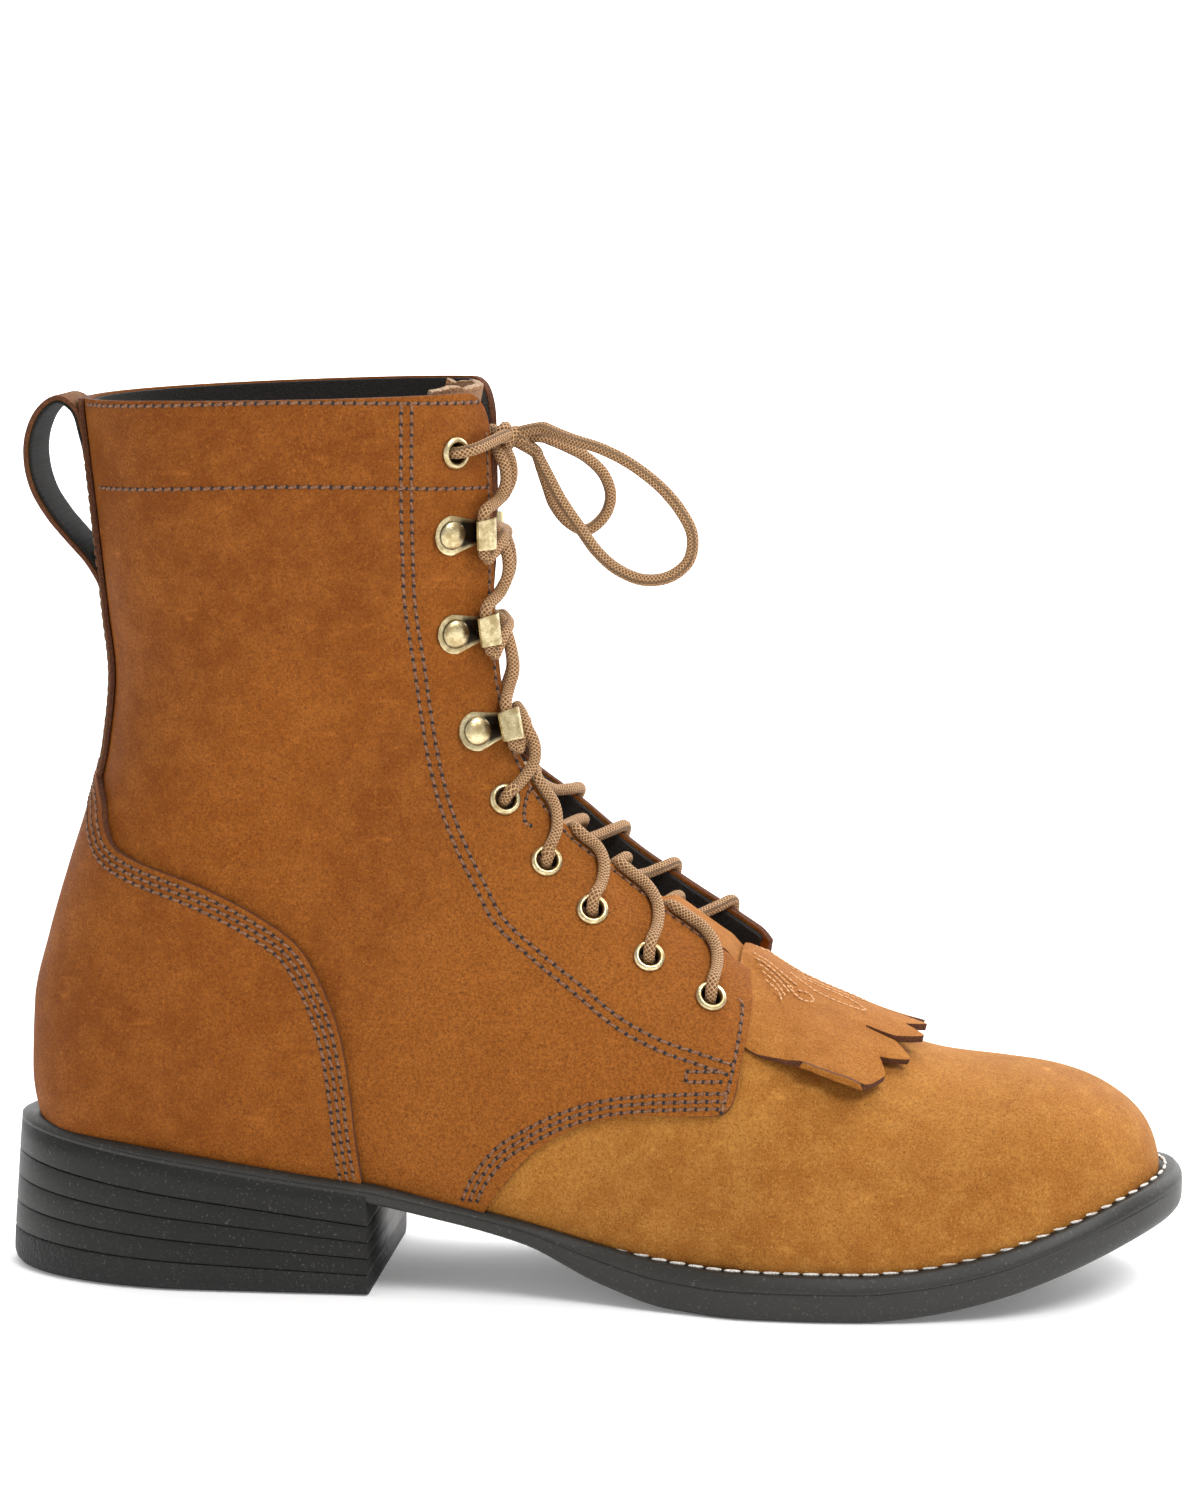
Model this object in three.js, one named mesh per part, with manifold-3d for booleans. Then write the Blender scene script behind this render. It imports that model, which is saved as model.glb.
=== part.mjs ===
// Lace-up boot for the right foot: a hollow leather upper on a welted rubber sole with a stacked heel.
// Millimetres. +X runs to the toe, +Y to the inner side of the foot, +Z up; the floor is z = 0.
import * as THREE from "three";
import { mergeVertices } from "three/addons/utils/BufferGeometryUtils.js";
import Module from "manifold-3d";

const wasm = await Module();
wasm.setup();

// Sole sizes
const SOLE_LENGTH = 308;
const BALL_WIDTH = 108;
const WAIST_WIDTH = 68;
const HEEL_WIDTH = 73;
const TOE_WIDTH = 92;
const HEEL_ROUND = { length: 54, power: 1.95 }; // rounded back of the heel
const TOE_ROUND = { length: 50, power: 2.2 }; // rounded toe
const HEEL_FLARE = 2.8; // the heel's back leans in by this at the seat
const SOLE_EDGE = 11.6; // whole edge at the ball, with the welt
const WELT = 3.4;
const WELT_WIDTH = 13;
const SHANK = 4.8;
const HEEL_SEAT = 29.1; // top of the sole at the heel breast
const TOE_SPRING = 20;
const HEEL_LENGTH = 100;
const TOP_LIFT = { breast: 5.6, back: 9.8 };
const HEEL_STACK = { breast: 18.3, back: 30.7 }; // top of the last lift
const LIFTS = 3;
const GROOVE = 0.35; // bevel at the edges of each lift
const SOLE_BEVEL = 2;
const EDGE = { inset: 2.4, drop: 2.1 }; // sloped top edge of the sole and the welt
const HEEL_BEVEL = 3;

// Upper sizes
const UPPER_WALL = 2.2;
const QUARTER = 1.5; // step of the quarters over the vamp
const COUNTER = 1.6;
const STRAP = 1.3;
const TONGUE_WALL = 2.6;
const TONGUE_WIDTH = 58;
const INSOLE = 3.2;
const VAMP_LEDGE = 6; // welt left bare beside the upper
const VAMP_RISE = 71; // throat base above the sole
const SHAFT_RISE = 137; // collar above the throat base, at the front
const BACK_RISE = 187.8; // collar above the heel seat, at the back
const SHAFT_WIDTH = 82;
const THROAT = 30; // gap between the facings
const THROAT_SHIFT = 2; // the throat lies a little to the inner side
const FACING_INSET = 12; // fittings behind the facing edge, along the leather
const COLLAR_CORNER = 10;
const COLLAR_TILT = 2.6; // the collar's inner side stands this much higher than its outer side

// Fittings
const EYELET = { outer: 4.15, hole: 2.6, wall: 0.5, rise: 0.9, shank: 3.2, clear: 0.3 };
const HOOK = { width: 7.2, base: 9.6, thick: 0.9, reach: 6.4, height: 4.6, lip: 2.6, flare: 0.5, rivet: 2.9 };
const LACE = 3.6;
const KNOT = { x: -15.5, y: -6, z: 220, long: 5, wide: 5.6, high: 4.2 };

// Pull loop and kiltie
const LOOP = { width: 21, thick: 2.4 };
const STRAP_WIDTH = 23;
const KILTIE = { thick: 1.8, slit: 0.9 };

const GAP = 0.3; // between neighbouring pieces
const LACE_ROOM = 0.7; // bare room round a run of lace
const LACE_STEP = 11; // length of a straight piece of lace
const BURY = 8; // the upper's form runs this far below the seat before it is trimmed
const OVER = 10; // and this far above the collar

const LATERAL = "lateral";
const MEDIAL = "medial";
const HEEL_END = -SOLE_LENGTH / 2;
const TOE_END = SOLE_LENGTH / 2;
const BREAST = HEEL_END + HEEL_LENGTH;

// Plan of the sole: half widths each side of the middle line, as shares of the named width.
const PLAN = [
  { at: 0.0, width: HEEL_WIDTH, lateral: 0.488, medial: 0.474 },
  { at: 0.12, width: HEEL_WIDTH, lateral: 0.496, medial: 0.488 },
  { at: 0.22, width: HEEL_WIDTH, lateral: 0.503, medial: 0.492 },
  { at: 0.33, width: HEEL_WIDTH, lateral: 0.507, medial: 0.481 },
  { at: 0.42, width: WAIST_WIDTH, lateral: 0.556, medial: 0.453 },
  { at: 0.5, width: WAIST_WIDTH, lateral: 0.596, medial: 0.441 },
  { at: 0.58, width: BALL_WIDTH, lateral: 0.437, medial: 0.34 },
  { at: 0.65, width: BALL_WIDTH, lateral: 0.4925, medial: 0.43 },
  { at: 0.7, width: BALL_WIDTH, lateral: 0.5, medial: 0.478 },
  { at: 0.75, width: BALL_WIDTH, lateral: 0.4925, medial: 0.5 },
  { at: 0.82, width: BALL_WIDTH, lateral: 0.465, medial: 0.4875 },
  { at: 0.9, width: TOE_WIDTH, lateral: 0.487, medial: 0.516 },
  { at: 1.0, width: TOE_WIDTH, lateral: 0.387, medial: 0.411 },
];

// Side view of the sole. seat: share of the heel's rise; spring: share of the toe spring;
// full: how much of the edge is full thickness, from the shank (0) to the ball (1).
const PROFILE = [
  { at: 0.0, seat: 1.71, spring: 0, full: 0 },
  { at: 0.153, seat: 1.39, spring: 0, full: 0 },
  { at: 0.269, seat: 1.11, spring: 0, full: 0 },
  { at: 0.3214, seat: 1.0, spring: 0, full: 0 },
  { at: 0.386, seat: 0.766, spring: 0, full: 0 },
  { at: 0.4545, seat: 0.514, spring: 0, full: 0.13 },
  { at: 0.5214, seat: 0.217, spring: 0, full: 0.76 },
  { at: 0.58, seat: 0.04, spring: 0, full: 1 },
  { at: 0.625, seat: 0, spring: 0, full: 1 },
  { at: 0.735, seat: 0, spring: 0, full: 1 },
  { at: 0.77, seat: 0, spring: 0.04, full: 1 },
  { at: 0.802, seat: 0, spring: 0.11, full: 1 },
  { at: 0.85, seat: 0, spring: 0.28, full: 1 },
  { at: 0.898, seat: 0, spring: 0.51, full: 1 },
  { at: 0.963, seat: 0, spring: 0.85, full: 1 },
  { at: 1.0, seat: 0, spring: 1.03, full: 1 },
];

// Sections of the upper, toe to collar. Each is a plane from a point under or behind the foot to a
// point on the ridge. front, back: shares of the sole's length; vamp, shaft, heel: shares of the rises;
// lateral, medial: shares of the width; widest: where the section is widest; lower, upper: roundness.
const FOOT = { width: 0, lateral: 1, medial: 1 };
const UPPER = [
  { front: 0.9802, vamp: 0.03, shaft: 0, back: 0.9802, heel: 0, ...FOOT, widest: 0.5, lower: 2.2, upper: 2.2 },
  { front: 0.9773, vamp: 0.09, shaft: 0, back: 0.9773, heel: 0, ...FOOT, widest: 0.45, lower: 2.5, upper: 2.3 },
  { front: 0.9708, vamp: 0.166, shaft: 0, back: 0.9708, heel: 0, ...FOOT, widest: 0.42, lower: 2.8, upper: 2.3 },
  { front: 0.9594, vamp: 0.245, shaft: 0, back: 0.9594, heel: 0, ...FOOT, widest: 0.4, lower: 3.2, upper: 2.3 },
  { front: 0.9432, vamp: 0.321, shaft: 0, back: 0.9432, heel: 0, ...FOOT, widest: 0.38, lower: 3.5, upper: 2.3 },
  { front: 0.9205, vamp: 0.404, shaft: 0, back: 0.9205, heel: 0, ...FOOT, widest: 0.36, lower: 3.8, upper: 2.3 },
  { front: 0.8896, vamp: 0.485, shaft: 0, back: 0.8896, heel: 0, ...FOOT, widest: 0.34, lower: 4, upper: 2.3 },
  { front: 0.8506, vamp: 0.56, shaft: 0, back: 0.8506, heel: 0, ...FOOT, widest: 0.32, lower: 4, upper: 2.25 },
  { front: 0.8052, vamp: 0.63, shaft: 0, back: 0.8052, heel: 0, ...FOOT, widest: 0.3, lower: 4, upper: 2.2 },
  { front: 0.7597, vamp: 0.711, shaft: 0, back: 0.7597, heel: 0, ...FOOT, widest: 0.29, lower: 4, upper: 2.1 },
  { front: 0.7143, vamp: 0.804, shaft: 0, back: 0.712, heel: 0, ...FOOT, widest: 0.28, lower: 4, upper: 2.05 },
  { front: 0.6753, vamp: 0.893, shaft: 0, back: 0.665, heel: 0, ...FOOT, widest: 0.27, lower: 4, upper: 2.05 },
  { front: 0.6396, vamp: 1, shaft: 0, back: 0.617, heel: 0, width: BALL_WIDTH, lateral: 0.432, medial: 0.385, widest: 0.27, lower: 4, upper: 2.1 },
  { front: 0.6039, vamp: 1, shaft: 0.06, back: 0.5584, heel: 0, width: WAIST_WIDTH, lateral: 0.632, medial: 0.55, widest: 0.27, lower: 4, upper: 2.25 },
  { front: 0.5649, vamp: 1, shaft: 0.118, back: 0.487, heel: 0, width: WAIST_WIDTH, lateral: 0.575, medial: 0.505, widest: 0.27, lower: 4, upper: 2.4 },
  { front: 0.526, vamp: 1, shaft: 0.172, back: 0.4026, heel: 0, width: WAIST_WIDTH, lateral: 0.54, medial: 0.47, widest: 0.28, lower: 4, upper: 2.55 },
  { front: 0.4968, vamp: 1, shaft: 0.215, back: 0.2987, heel: 0, width: HEEL_WIDTH, lateral: 0.459, medial: 0.445, widest: 0.28, lower: 4, upper: 2.6 },
  { front: 0.474, vamp: 1, shaft: 0.273, back: 0.1916, heel: 0, width: HEEL_WIDTH, lateral: 0.438, medial: 0.432, widest: 0.28, lower: 3.8, upper: 2.6 },
  { front: 0.4594, vamp: 1, shaft: 0.333, back: 0.0974, heel: 0, width: HEEL_WIDTH, lateral: 0.431, medial: 0.425, widest: 0.3, lower: 3, upper: 2.55 },
  { front: 0.4497, vamp: 1, shaft: 0.397, back: 0.0455, heel: 0.02, width: HEEL_WIDTH, lateral: 0.425, medial: 0.418, widest: 0.34, lower: 2.5, upper: 2.5 },
  { front: 0.4432, vamp: 1, shaft: 0.459, back: 0.0318, heel: 0.1, width: HEEL_WIDTH, lateral: 0.425, medial: 0.418, widest: 0.38, lower: 2.25, upper: 2.45 },
  { front: 0.439, vamp: 1, shaft: 0.522, back: 0.0338, heel: 0.19, width: HEEL_WIDTH, lateral: 0.425, medial: 0.418, widest: 0.4, lower: 2.15, upper: 2.4 },
  { front: 0.4357, vamp: 1, shaft: 0.586, back: 0.0471, heel: 0.282, width: HEEL_WIDTH, lateral: 0.427, medial: 0.42, widest: 0.42, lower: 2.1, upper: 2.35 },
  { front: 0.4338, vamp: 1, shaft: 0.641, back: 0.0649, heel: 0.378, width: SHAFT_WIDTH, lateral: 0.386, medial: 0.382, widest: 0.44, lower: 2.1, upper: 2.3 },
  { front: 0.4318, vamp: 1, shaft: 0.698, back: 0.0828, heel: 0.468, width: SHAFT_WIDTH, lateral: 0.397, medial: 0.394, widest: 0.45, lower: 2.1, upper: 2.3 },
  { front: 0.4302, vamp: 1, shaft: 0.755, back: 0.0958, heel: 0.557, width: SHAFT_WIDTH, lateral: 0.41, medial: 0.408, widest: 0.46, lower: 2.1, upper: 2.25 },
  { front: 0.4286, vamp: 1, shaft: 0.812, back: 0.1013, heel: 0.645, width: SHAFT_WIDTH, lateral: 0.427, medial: 0.425, widest: 0.47, lower: 2.1, upper: 2.25 },
  { front: 0.4273, vamp: 1, shaft: 0.87, back: 0.0974, heel: 0.735, width: SHAFT_WIDTH, lateral: 0.447, medial: 0.447, widest: 0.48, lower: 2.15, upper: 2.2 },
  { front: 0.4256, vamp: 1, shaft: 0.926, back: 0.0909, heel: 0.85, width: SHAFT_WIDTH, lateral: 0.465, medial: 0.465, widest: 0.48, lower: 2.2, upper: 2.2 },
  { front: 0.4237, vamp: 1, shaft: 1, back: 0.0812, heel: 1, width: SHAFT_WIDTH, lateral: 0.482, medial: 0.482, widest: 0.48, lower: 2.2, upper: 2.2 },
];
const THROAT_ROW = 12;
const COLLAR_ROW = UPPER.length - 1;

// Smooth curve through a table's column, with no overshoot between its rows.
function curve(rows, column, key = (row) => row.at) {
  const x = rows.map(key);
  const y = rows.map(column);
  const slope = x.slice(1).map((v, i) => (y[i + 1] - y[i]) / (v - x[i]));
  const tangent = x.map((_, i) => {
    if (i === 0) return slope[0];
    if (i === x.length - 1) return slope[i - 1];
    const [a, b] = [slope[i - 1], slope[i]];
    return a * b <= 0 ? 0 : (2 * a * b) / (a + b);
  });
  return (at) => {
    const past = x.filter((v) => v <= at).length;
    const i = Math.max(0, Math.min(x.length - 2, past - 1));
    const h = x[i + 1] - x[i];
    const u = Math.max(0, Math.min(1, (at - x[i]) / h));
    const [u2, u3] = [u * u, u * u * u];
    return (
      y[i] * (2 * u3 - 3 * u2 + 1) +
      tangent[i] * h * (u3 - 2 * u2 + u) +
      y[i + 1] * (3 * u2 - 2 * u3) +
      tangent[i + 1] * h * (u3 - u2)
    );
  };
}

// Closed solid from an indexed triangle list, turned the right way out.
function solidOf(positions, triangles) {
  const loose = new THREE.BufferGeometry();
  loose.setAttribute("position", new THREE.Float32BufferAttribute(positions, 3));
  loose.setIndex(triangles);
  const merged = mergeVertices(loose, 1e-4);
  const kept = [];
  const index = merged.index.array;
  for (let i = 0; i < index.length; i += 3) {
    const [a, b, c] = [index[i], index[i + 1], index[i + 2]];
    if (a !== b && b !== c && a !== c) kept.push(a, b, c);
  }
  const make = (list) =>
    new wasm.Manifold(
      new wasm.Mesh({
        numProp: 3,
        vertProperties: merged.attributes.position.array,
        triVerts: new Uint32Array(list),
      }),
    );
  const made = make(kept);
  if (made.volume() > 0) return made;
  return make(kept.reverse());
}

// Any closed three.js geometry as a solid.
function solidFrom(geometry, matrix = new THREE.Matrix4()) {
  const placed = geometry.clone().applyMatrix4(matrix);
  placed.deleteAttribute("normal");
  placed.deleteAttribute("uv");
  const merged = mergeVertices(placed, 1e-4);
  return solidOf(Array.from(merged.attributes.position.array), Array.from(merged.index.array));
}

function geometryFrom(solid) {
  const mesh = solid.getMesh();
  const geometry = new THREE.BufferGeometry();
  const positions = new Float32Array(mesh.numVert * 3);
  for (let i = 0; i < mesh.numVert; i++) {
    positions.set(mesh.vertProperties.subarray(i * mesh.numProp, i * mesh.numProp + 3), i * 3);
  }
  geometry.setAttribute("position", new THREE.BufferAttribute(positions, 3));
  geometry.setIndex(new THREE.BufferAttribute(mesh.triVerts, 1));
  const faceted = geometry.toNonIndexed();
  faceted.computeVertexNormals();
  return faceted;
}

// Skin over a row of levels. A level is two rows of points that run side by side and close on each other.
function skin(levels) {
  const n = levels[0].lateral.length;
  const positions = [];
  for (const level of levels) {
    for (const side of [LATERAL, MEDIAL]) {
      for (const p of level[side]) positions.push(p.x, p.y, p.z);
    }
  }
  const triangles = [];
  const quad = (a, b, c, d) => triangles.push(a, b, c, a, c, d);
  const at = (level, side, i) => level * 2 * n + side * n + i;
  for (let k = 0; k + 1 < levels.length; k++) {
    for (let i = 0; i + 1 < n; i++) {
      quad(at(k, 0, i), at(k, 0, i + 1), at(k + 1, 0, i + 1), at(k + 1, 0, i));
      quad(at(k, 1, i + 1), at(k, 1, i), at(k + 1, 1, i), at(k + 1, 1, i + 1));
    }
    quad(at(k, 1, 0), at(k, 0, 0), at(k + 1, 0, 0), at(k + 1, 1, 0));
    quad(at(k, 0, n - 1), at(k, 1, n - 1), at(k + 1, 1, n - 1), at(k + 1, 0, n - 1));
  }
  const last = levels.length - 1;
  for (let i = 0; i + 1 < n; i++) {
    quad(at(0, 1, i), at(0, 1, i + 1), at(0, 0, i + 1), at(0, 0, i));
    quad(at(last, 0, i), at(last, 0, i + 1), at(last, 1, i + 1), at(last, 1, i));
  }
  return { positions, triangles };
}

function loft(levels) {
  const { positions, triangles } = skin(levels);
  return solidOf(positions, triangles);
}

// Sole
const share = (x) => (x - HEEL_END) / SOLE_LENGTH;
const planHalf = {
  lateral: curve(PLAN, (row) => row.width * row.lateral),
  medial: curve(PLAN, (row) => row.width * row.medial),
};
const seatShare = curve(PROFILE, (row) => row.seat);
const springShare = curve(PROFILE, (row) => row.spring);
const fullShare = curve(PROFILE, (row) => row.full);
const SIGN = { lateral: -1, medial: 1 };

function soleTop(x) {
  const at = share(x);
  return SOLE_EDGE + seatShare(at) * (HEEL_SEAT - SOLE_EDGE) + springShare(at) * TOE_SPRING;
}

function soleBottom(x) {
  return soleTop(x) - SHANK - fullShare(share(x)) * (SOLE_EDGE - SHANK);
}

// Height of a line across the heel that falls from the back to the breast.
function heelLine(line, x) {
  const u = (x - HEEL_END) / HEEL_LENGTH;
  return line.back + (line.breast - line.back) * Math.max(0, Math.min(1, u));
}

const ROUND_FACETS = 8;
const BODY_FACETS = 12;

// Stations round an end of the outline, from its tip on: how far in, and the share of full width.
function roundEnd({ length, power }, inset) {
  const list = [];
  for (let i = 0; i < ROUND_FACETS; i++) {
    const angle = (Math.PI / 2) * (0.05 + (0.95 * i) / ROUND_FACETS);
    const run = 1 - Math.cos(angle) ** (2 / power);
    list.push({ run: inset + run * (length - inset), cap: Math.sin(angle) ** (2 / power) });
  }
  return list;
}

// Stations of an outline moved in by inset: a round end, the body and the other round end.
function stations(inset, backInset, from, to) {
  const start = from === HEEL_END ? from + HEEL_ROUND.length : from;
  const end = to === TOE_END ? to - TOE_ROUND.length : to;
  const whole = SOLE_LENGTH - HEEL_ROUND.length - TOE_ROUND.length;
  const body = Math.max(2, Math.round((BODY_FACETS * (end - start)) / whole));
  const list = [];
  if (from === HEEL_END) {
    for (const { run, cap } of roundEnd(HEEL_ROUND, inset + backInset)) list.push({ x: from + run, cap });
  }
  for (let i = 0; i <= body; i++) list.push({ x: start + ((end - start) * i) / body, cap: 1 });
  if (to === TOE_END) {
    for (const { run, cap } of roundEnd(TOE_ROUND, inset).reverse()) list.push({ x: to - run, cap });
  }
  return list;
}

// One level of the sole: its outline moved in by inset, at the height given by lift(x). The heel's
// part is moved in by a share of its flare too, which fades out at the breast.
function soleLevel(inset, lift, from = HEEL_END, to = TOE_END, flare = 1) {
  const row = (side) =>
    stations(inset, flare * HEEL_FLARE, from, to).map(({ x, cap }) => {
      const lean = flare * HEEL_FLARE * Math.max(0, (BREAST - x) / HEEL_LENGTH);
      const half = (planHalf[side](share(x)) - inset - lean) * cap;
      return new THREE.Vector3(x, SIGN[side] * half, lift(x));
    });
  return { lateral: row(LATERAL), medial: row(MEDIAL) };
}

const WELT_START = HEEL_END + 0.525 * SOLE_LENGTH;
const STEP = 0.01; // width of an upright step in a lofted face

function makeOutsole() {
  const body = (lift) => (x) => soleBottom(x) + lift;
  const slab = loft([
    soleLevel(SOLE_BEVEL, body(0)),
    soleLevel(0, body(SOLE_BEVEL)),
    soleLevel(0, (x) => soleTop(x) - EDGE.drop),
    soleLevel(EDGE.inset, soleTop),
  ]);
  const rand = loft([
    soleLevel(0, (x) => heelLine(HEEL_STACK, x) + GAP, HEEL_END, BREAST, 0.75),
    soleLevel(0, (x) => soleBottom(x) + SOLE_BEVEL + STEP, HEEL_END, BREAST),
  ]);
  const weltRoom = loft([
    soleLevel(-OVER, (x) => soleTop(x) - WELT - GAP, WELT_START),
    soleLevel(-OVER, (x) => soleTop(x) + OVER, WELT_START),
  ]);
  return slab.add(rand).subtract(weltRoom);
}

function makeWelt() {
  const bottom = (x) => soleTop(x) - WELT;
  const ring = loft([
    soleLevel(0, bottom, WELT_START + GAP),
    soleLevel(0, (x) => soleTop(x) - EDGE.drop, WELT_START + GAP),
    soleLevel(EDGE.inset, soleTop, WELT_START + GAP),
  ]);
  const room = loft([
    soleLevel(WELT_WIDTH, (x) => bottom(x) - OVER, WELT_START - OVER),
    soleLevel(WELT_WIDTH, (x) => soleTop(x) + OVER, WELT_START - OVER),
  ]);
  return ring.subtract(room);
}

function makeLift(index) {
  const line = (k) => ({
    breast: TOP_LIFT.breast + ((HEEL_STACK.breast - TOP_LIFT.breast) * k) / LIFTS,
    back: TOP_LIFT.back + ((HEEL_STACK.back - TOP_LIFT.back) * k) / LIFTS,
  });
  const lower = (x) => heelLine(line(index), x) + GAP;
  const upper = (x) => heelLine(line(index + 1), x);
  const flareAt = (k) => 0.2 + (0.55 * k) / LIFTS;
  const [under, over] = [flareAt(index), flareAt(index + 1)];
  return loft([
    soleLevel(GROOVE, lower, HEEL_END, BREAST, under),
    soleLevel(0, (x) => lower(x) + GROOVE, HEEL_END, BREAST, under),
    soleLevel(0, (x) => upper(x) - GROOVE, HEEL_END, BREAST, over),
    soleLevel(GROOVE, upper, HEEL_END, BREAST, over),
  ]);
}

function makeTopLift() {
  return loft([
    soleLevel(HEEL_BEVEL, () => 0, HEEL_END, BREAST, 0),
    soleLevel(HEEL_BEVEL / 3, () => HEEL_BEVEL / 3, HEEL_END, BREAST, 0),
    soleLevel(0, () => HEEL_BEVEL, HEEL_END, BREAST, 0),
    soleLevel(0, (x) => heelLine(TOP_LIFT, x), HEEL_END, BREAST, 0.2),
  ]);
}

// Upper: the closed form of the last, which every leather piece is cut from
const column = (get) => curve(UPPER, get, (_, i) => i);

function footHalf(x, side) {
  const tip = HEEL_END + UPPER[0].front * SOLE_LENGTH;
  const u = Math.max(0, Math.min(1, (tip + 0.4 - x) / (TOE_ROUND.length - VAMP_LEDGE)));
  const cap = (1 - (1 - u) ** TOE_ROUND.power) ** (1 / TOE_ROUND.power);
  return ((planHalf[side](share(x)) - VAMP_LEDGE) * cap) / 0.95;
}

const frontX = (row) => HEEL_END + row.front * SOLE_LENGTH;
const backX = (row) => HEEL_END + row.back * SOLE_LENGTH;
const ridgeZ = (row) => soleTop(frontX(row)) + row.vamp * VAMP_RISE + row.shaft * SHAFT_RISE;
const halfOf = (row, side) => (row.width ? row.width * row[side] : footHalf(frontX(row), side));
const form = {
  frontX: column(frontX),
  frontZ: column(ridgeZ),
  backX: column(backX),
  backZ: column((row) => soleTop(backX(row)) - BURY + row.heel * (BACK_RISE + BURY)),
  lateral: column((row) => halfOf(row, LATERAL)),
  medial: column((row) => halfOf(row, MEDIAL)),
  widest: column((row) => row.widest),
  lower: column((row) => row.lower),
  upper: column((row) => row.upper),
};

function sectionAt(t) {
  const cut = {};
  for (const key of Object.keys(form)) cut[key] = form[key](t);
  const beyond = Math.max(0, t - COLLAR_ROW) * OVER;
  cut.frontZ += beyond;
  cut.backZ += beyond;
  return cut;
}

// Point of a section at a share v of the way from its back to its ridge, y out from the middle.
function onSection(cut, v, y) {
  return new THREE.Vector3(
    cut.backX + v * (cut.frontX - cut.backX),
    y,
    cut.backZ + v * (cut.frontZ - cut.backZ),
  );
}

const LOWER_FACETS = 3;
const UPPER_FACETS = 6;

function sectionRow(cut, side) {
  const half = SIGN[side] * cut[side];
  const row = [];
  for (let i = 0; i < LOWER_FACETS; i++) {
    const angle = (Math.PI / 2) * (i / LOWER_FACETS);
    const v = cut.widest * (1 - Math.cos(angle) ** (2 / cut.lower));
    row.push(onSection(cut, v, half * Math.sin(angle) ** (2 / cut.lower)));
  }
  for (let i = 0; i <= UPPER_FACETS; i++) {
    const angle = (Math.PI / 2) * (i / UPPER_FACETS);
    const v = cut.widest + (1 - cut.widest) * Math.sin(angle) ** (2 / cut.upper);
    const y = i === UPPER_FACETS ? 0 : half * Math.cos(angle) ** (2 / cut.upper);
    row.push(onSection(cut, v, y));
  }
  return row;
}

const lastSkin = (() => {
  const levels = [];
  for (let t = 0; t <= COLLAR_ROW + 1; t++) {
    const cut = sectionAt(t);
    levels.push({ lateral: sectionRow(cut, LATERAL), medial: sectionRow(cut, MEDIAL) });
  }
  const { positions, triangles } = skin(levels);
  const loose = new THREE.BufferGeometry();
  loose.setAttribute("position", new THREE.Float32BufferAttribute(positions, 3));
  loose.setIndex(triangles);
  const merged = mergeVertices(loose, 1e-3);
  merged.computeVertexNormals();
  const normal = new THREE.Vector3().fromBufferAttribute(merged.attributes.normal, 6);
  const outward = normal.x > 0 ? 1 : -1;
  return { merged, outward };
})();

// The last's form, grown or shrunk all round by offset.
function last(offset) {
  const { position, normal } = lastSkin.merged.attributes;
  const moved = [];
  for (let i = 0; i < position.count; i++) {
    const p = new THREE.Vector3().fromBufferAttribute(position, i);
    const n = new THREE.Vector3().fromBufferAttribute(normal, i).multiplyScalar(lastSkin.outward);
    p.addScaledVector(n, offset);
    moved.push(p.x, p.y, p.z);
  }
  return solidOf(moved, Array.from(lastSkin.merged.index.array));
}

// Prism across the boot from an outline drawn in side view, points as [x, z].
function sidePrism(points, from = -OVER * OVER, to = OVER * OVER) {
  const shape = new THREE.Shape(points.map(([x, z]) => new THREE.Vector2(x, z)));
  const slab = new THREE.ExtrudeGeometry(shape, { depth: to - from, bevelEnabled: false });
  const turn = new THREE.Matrix4().makeRotationX(Math.PI / 2);
  return solidFrom(slab, new THREE.Matrix4().makeTranslation(0, to, 0).multiply(turn));
}

// Everything under the top of the sole, and a share of the layer above it.
function underSole(lift) {
  const reach = OVER * OVER;
  const x = [HEEL_END - reach];
  for (let i = 0; i <= 2 * BODY_FACETS; i++) x.push(HEEL_END + (SOLE_LENGTH * i) / (2 * BODY_FACETS));
  x.push(TOE_END + reach);
  const top = x.map((v) => [v, soleTop(Math.max(HEEL_END, Math.min(TOE_END, v))) + lift]);
  return sidePrism([...top, [TOE_END + reach, -reach], [HEEL_END - reach, -reach]]);
}

// Everything above the collar line, with the rounded front corners of the facings.
function aboveCollar(lift = 0) {
  const cut = sectionAt(COLLAR_ROW);
  const slope = (cut.frontZ - cut.backZ) / (cut.frontX - cut.backX);
  const lineAt = (x) => cut.backZ + slope * (x - cut.backX) + lift;
  const frontEdge = cut.frontX - 1;
  const corner = [];
  for (let i = 0; i <= 4; i++) {
    const angle = (Math.PI / 2) * (i / 4);
    const x = frontEdge - COLLAR_CORNER * (1 - Math.sin(angle));
    corner.push([x, lineAt(x) - COLLAR_CORNER * (1 - Math.cos(angle))]);
  }
  const reach = OVER * OVER;
  const block = sidePrism([
    [HEEL_END - reach, lineAt(HEEL_END - reach)],
    ...corner,
    [frontEdge + 3, corner.at(-1)[1] - 2 * COLLAR_CORNER],
    [frontEdge + reach, corner.at(-1)[1] - 2 * COLLAR_CORNER],
    [frontEdge + reach, lineAt(frontEdge) + reach],
    [HEEL_END - reach, lineAt(HEEL_END) + reach],
  ]);
  const level = lineAt(0);
  const tilt = (Math.atan2(COLLAR_TILT, SHAFT_WIDTH) * 180) / Math.PI;
  const leaned = block.translate([0, 0, -level]).rotate([tilt, 0, 0]);
  return leaned.translate([0, 0, level + COLLAR_TILT / 2]);
}

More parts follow.
